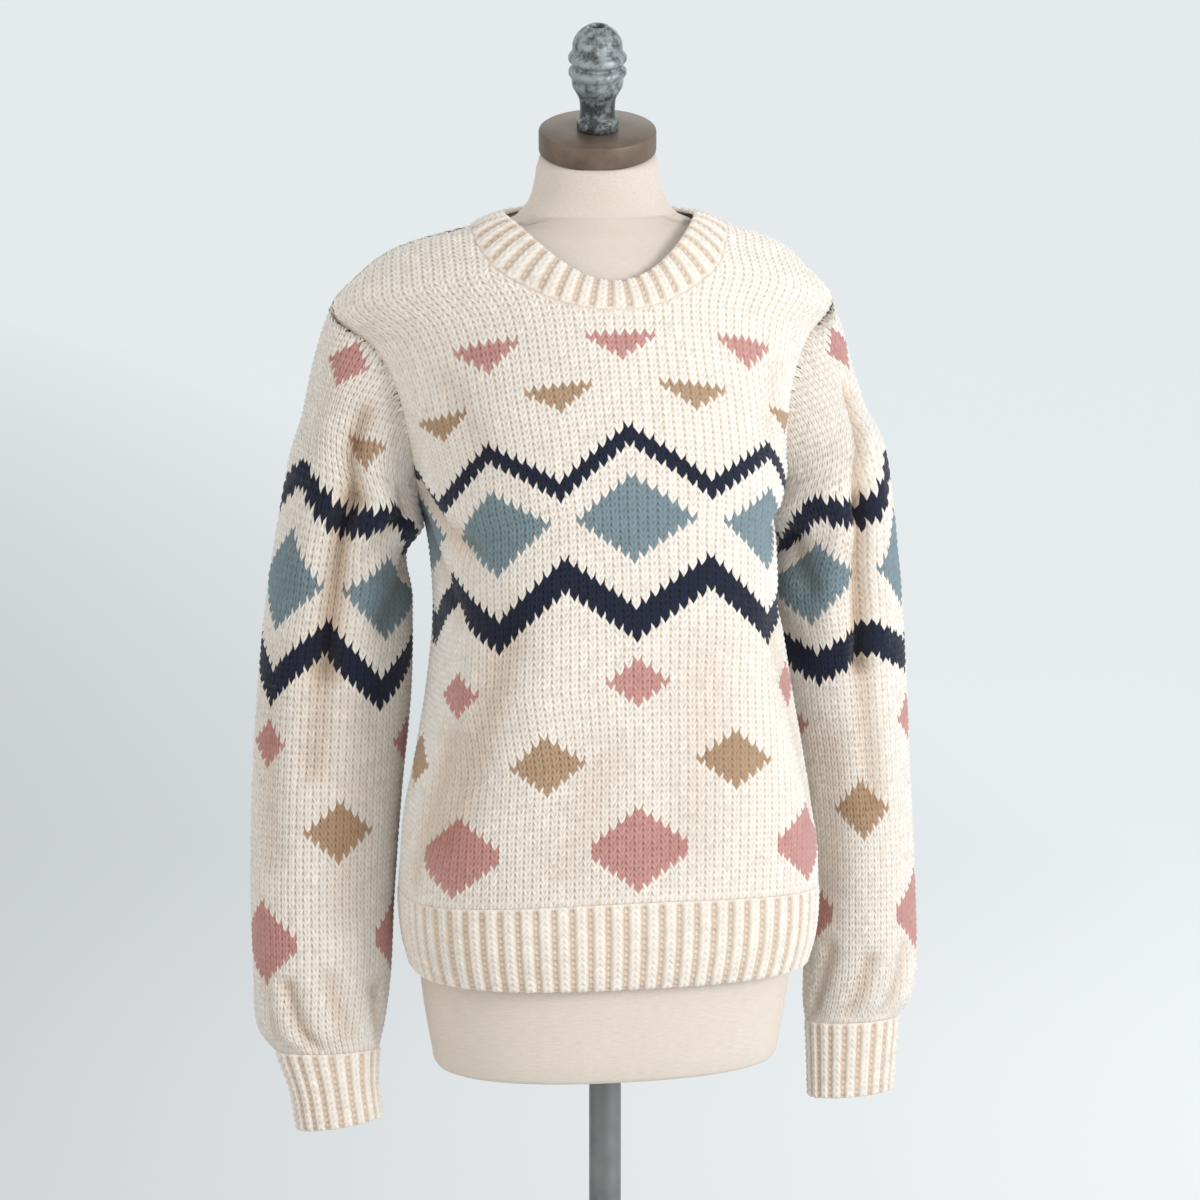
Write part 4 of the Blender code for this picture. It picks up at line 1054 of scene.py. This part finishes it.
def linen_material():
    """Natural linen: two crossing sets of uneven threads, drawn on the cover's own plan."""
    linen = Paint("linen_cover")
    linen.set(linen.shader, Roughness=0.88, Sheen_Weight=0.08)
    plan = linen.node("UVMap")
    plan.uv_map = "weave"
    threads = []
    for direction in ("X", "Y"):
        wave = linen.node("TexWave", Scale=230.0, Distortion=1.2, Detail=1.0, Detail_Scale=0.6)
        wave.bands_direction = direction
        linen.join(plan.outputs["UV"], wave, "Vector")
        threads.append(wave.outputs["Fac"])
    stretch = linen.node("Mapping", Scale=(90.0, 620.0, 1.0))
    linen.join(plan.outputs["UV"], stretch, "Vector")
    slubs = linen.noise(stretch.outputs["Vector"], 1.0, 4.0)
    linen.tone(slubs, 0.28, (0.655, 0.57, 0.495), 0.70, (0.735, 0.65, 0.575))
    linen.bump(linen.reckon("MULTIPLY", *threads), 0.5, 0.0004)
    return linen.material


def metal_material(name, dark, light, roughness, metallic, scale, pitted, with_painted_highlight=False):
    """Aged metal: a mottled tone and uneven gloss, with a faint grain or casting pits.

    A piece with a painted highlight is brighter where it stands out and darker on its thin stem, by its
    own attribute: painted highlight and painted shade.
    """
    metal = Paint(name)
    metal.set(metal.shader, Metallic=metallic)
    spots = metal.spots()
    mottle = shown = metal.noise(spots, scale, 6.0, Roughness=0.62)
    if with_painted_highlight:
        # Painted highlight where the piece stands out, painted shade on its thin stem
        painted_highlight = metal.attribute("painted_highlight").outputs["Fac"]
        shown = metal.reckon("MULTIPLY_ADD", painted_highlight, 0.34, metal.reckon("MULTIPLY_ADD", mottle, 1.5, -0.42))
    metal.tone(shown, 0.36, dark, 0.68, light)
    metal.join(metal.between(mottle, roughness - 0.12, roughness + 0.14), metal.shader, "Roughness")
    metal.bump(metal.noise(spots, scale * 9.0, 3.0), pitted, 0.0005)
    return metal.material


# Turned pieces as height and radius, drawn up their outside
CAP_PROFILE = (
    (0.0, 48.6), (0.5, 49.8), (1.6, 50.4), (10.0, 50.5), (18.0, 50.4), (19.3, 49.9), (20.0, 48.8),
    (20.0, 24.0),
)
FINIAL_PROFILE = (
    (20.4, 17.3), (21.2, 17.8), (28.6, 17.8), (29.6, 17.3), (31.2, 15.4), (34.0, 14.8), (40.0, 14.9),
    (46.0, 15.4), (49.5, 16.4), (54.0, 18.8), (58.5, 21.4), (62.0, 22.0), (66.0, 22.1), (67.6, 23.2),
    (70.0, 24.7), (73.0, 24.7), (75.2, 23.0), (76.6, 21.3), (78.2, 21.2), (80.0, 22.8), (82.2, 24.8),
    (85.2, 25.0), (87.6, 23.6), (89.2, 21.8), (92.0, 21.4), (97.0, 21.2), (101.5, 19.6), (105.5, 17.0),
    (109.0, 13.4), (111.4, 10.2), (112.2, 8.6), (112.0, 7.0), (110.8, 6.3), (88.0, 6.2),
)
POLE_PROFILE = (
    (71.4, 14.0), (380.0, 14.0), (680.0, 14.0), (685.6, 14.0), (685.6, 31.0), (687.0, 32.0),
    (698.2, 32.0), (699.6, 31.0),
)
BASE_PROFILE = (
    (0.0, 163.6), (1.5, 165.0), (8.0, 165.0), (11.0, 164.6), (13.6, 162.2), (15.6, 158.0),
    (16.6, 150.0), (19.0, 110.0), (22.0, 70.0), (25.0, 46.0), (29.0, 36.0), (36.0, 30.2), (52.0, 25.4),
    (66.5, 22.2), (69.6, 20.8), (71.0, 18.8),
)


def deselect():
    for thing in bpy.context.view_layer.objects:
        thing.select_set(False)


def turned_piece(name, profile, sides):
    """A turned solid: a disc drawn up its profile, each step pushed up and drawn in or out."""
    deselect()
    height, radius = profile[0]
    bpy.ops.mesh.primitive_circle_add(
        vertices=sides, radius=radius * MM, fill_type="NGON", location=(0, 0, height * MM))
    piece = bpy.context.object
    piece.name = piece.data.name = name
    bpy.ops.object.transform_apply(location=True, rotation=True, scale=True)
    bpy.ops.object.mode_set(mode="EDIT")
    bpy.ops.mesh.select_all(action="SELECT")
    for up, out in profile[1:]:
        bpy.ops.mesh.extrude_region_move(TRANSFORM_OT_translate={"value": (0, 0, (up - height) * MM)})
        bpy.ops.transform.resize(value=(out / radius, out / radius, 1), center_override=(0, 0, up * MM))
        height, radius = up, out
    bpy.ops.mesh.select_all(action="SELECT")
    bpy.ops.mesh.remove_doubles(threshold=0.00001)
    bpy.ops.mesh.normals_make_consistent(inside=False)
    bpy.ops.object.mode_set(mode="OBJECT")
    return piece


def place_piece(piece, spot, tilt=0.0, turn=0.0):
    piece.location = Vector(spot) * MM
    piece.rotation_euler = (math.radians(tilt), 0, math.radians(turn))
    deselect()
    piece.select_set(True)
    bpy.context.view_layer.objects.active = piece
    bpy.ops.object.transform_apply(location=True, rotation=True, scale=True)
    bpy.ops.object.shade_smooth_by_angle(angle=math.radians(38))
    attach(piece, "root")


def casting_ridge(piece):
    """The line that the two halves of the mould leave up the casting, front and back."""
    bpy.ops.object.mode_set(mode="EDIT")
    for way in (-1, 1):
        edit = bmesh.from_edit_mesh(piece.data)
        for vert in edit.verts:
            x, y, z = vert.co / MM
            vert.select = abs(x) < 0.4 and y * way > 9.0 and z > 36
        edit.select_flush(True)
        bmesh.update_edit_mesh(piece.data)
        bpy.ops.transform.translate(value=(0, 0.55 * way * MM, 0))
        bpy.ops.mesh.select_all(action="DESELECT")
    bpy.ops.object.mode_set(mode="OBJECT")


def mark_painted_highlight(piece, low, high):
    """Painted highlight and shade, by how far each point stands out from the turning axis: none on the
    thin stem, full at the widest bead, and an even painted highlight over the dome.
    """
    painted_highlight = piece.data.attributes.new("painted_highlight", "FLOAT", "POINT")
    for vert, mark in zip(piece.data.vertices, painted_highlight.data):
        reach = math.hypot(vert.co.x, vert.co.y) / MM
        dome = 0.62 if vert.co.z / MM > 90.0 else 0.0
        mark.value = max(min((reach - low) / (high - low), 1.0), dome)


form = linen_form()
form.data.materials.append(linen_material())
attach(form, "root")
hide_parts("form_torso")

cap = turned_piece("neck_cap_bronze", CAP_PROFILE, 96)
place_piece(cap, (0, CAP_Y + GARMENT_Y, CAP_FOOT), CAP_TILT, CAP_TURN)
cap.data.materials.append(metal_material(
    "aged_bronze", (0.120, 0.085, 0.060), (0.190, 0.140, 0.103), 0.47, 0.35, 38.0, 0.12))
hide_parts("neck_cap")

finial = turned_piece("finial_cast", FINIAL_PROFILE, 96)
casting_ridge(finial)
mark_painted_highlight(finial, 14.0, 24.0)
place_piece(finial, (0, CAP_Y + GARMENT_Y, CAP_FOOT), CAP_TILT, CAP_TURN)
finial.data.materials.append(metal_material(
    "cast_metal", (0.050, 0.054, 0.058), (0.31, 0.345, 0.36), 0.36, 0.5, 130.0, 0.6, with_painted_highlight=True))
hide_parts("finial")

steel = metal_material("satin_steel", (0.17, 0.175, 0.18), (0.23, 0.235, 0.24), 0.42, 0.7, 30.0, 0.08)
pole = turned_piece("pole_steel", POLE_PROFILE, 64)
place_piece(pole, (0, 0, 0))
pole.data.materials.append(steel)
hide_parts("pole")

iron = metal_material("painted_iron", (0.055, 0.058, 0.062), (0.085, 0.09, 0.095), 0.55, 0.15, 60.0, 0.3)
base = turned_piece("base_iron", BASE_PROFILE, 128)
place_piece(base, (0, 0, 0))
base.data.materials.append(iron)
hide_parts("stand_base")


def camera():
    lens = bpy.data.cameras.new("camera")
    lens.lens = 137.9
    lens.sensor_width = 36.0
    lens.shift_x = 0.0025
    lens.clip_end = 200.0
    thing = link_object("camera", lens)
    azimuth, elevation, away = math.radians(-12), math.radians(9), 4.0
    aim = Vector((0, GARMENT_Y * MM, 1.10))
    level = math.cos(elevation)
    back = Vector((math.sin(azimuth) * level, -math.cos(azimuth) * level, math.sin(elevation)))
    thing.location = aim + back * away
    thing.rotation_euler = back.to_track_quat("Z", "Y").to_euler()
    bpy.context.scene.camera = thing


def light(name, place, aim, size, power, colour):
    lamp = bpy.data.lights.new(name, "AREA")
    lamp.shape = "RECTANGLE"
    lamp.size, lamp.size_y = size
    lamp.energy = power
    lamp.color = colour
    thing = link_object(name, lamp)
    thing.location = place
    thing.rotation_euler = (Vector(place) - Vector(aim)).to_track_quat("Z", "Y").to_euler()


def studio():
    world = bpy.data.worlds.new("studio")
    world.use_nodes = True
    sky = world.node_tree.nodes["Background"].inputs
    sky["Color"].default_value = (0.94, 0.98, 1.0, 1.0)
    sky["Strength"].default_value = 0.88
    bpy.context.scene.world = world
    bpy.context.scene.view_settings.view_transform = "Standard"
    mesh = bpy.data.meshes.new("studio_floor")
    mesh.from_pydata([(-60, -60, 0), (60, -60, 0), (60, 60, 0), (-60, 60, 0)], [], [(0, 1, 2, 3)])
    floor = link_object("studio_floor", mesh)
    # Pale, with one wide and soft painted shadow, a darker pool
    paint = Paint("floor_painted_shadow")
    paint.set(paint.shader, Roughness=0.9)
    spot = paint.node("Mapping", Location=(0.45, -0.12, 0.0), Scale=(0.30, 0.06, 1.0))
    paint.join(paint.spots(), spot, "Vector")
    painted_shadow_pool = paint.node("TexGradient")
    painted_shadow_pool.gradient_type = "SPHERICAL"
    paint.join(spot.outputs["Vector"], painted_shadow_pool, "Vector")
    paint.tone(painted_shadow_pool.outputs["Fac"], 0.0, (0.945, 0.955, 0.96), 1.0, (0.47, 0.48, 0.485))
    mesh.materials.append(paint.material)
    light("key", (2.4, -2.8, 2.1), (0, 0, 1.15), (1.4, 1.4), 76, (1.0, 0.985, 0.96))
    light("fill", (-3.0, -1.6, 1.3), (0, 0, 1.1), (1.6, 1.6), 13, (1.0, 0.76, 0.52))
    light("rear", (0.8, 2.8, 2.6), (0, 0, 1.2), (1.6, 1.6), 12, (1.0, 1.0, 1.0))


camera()
studio()
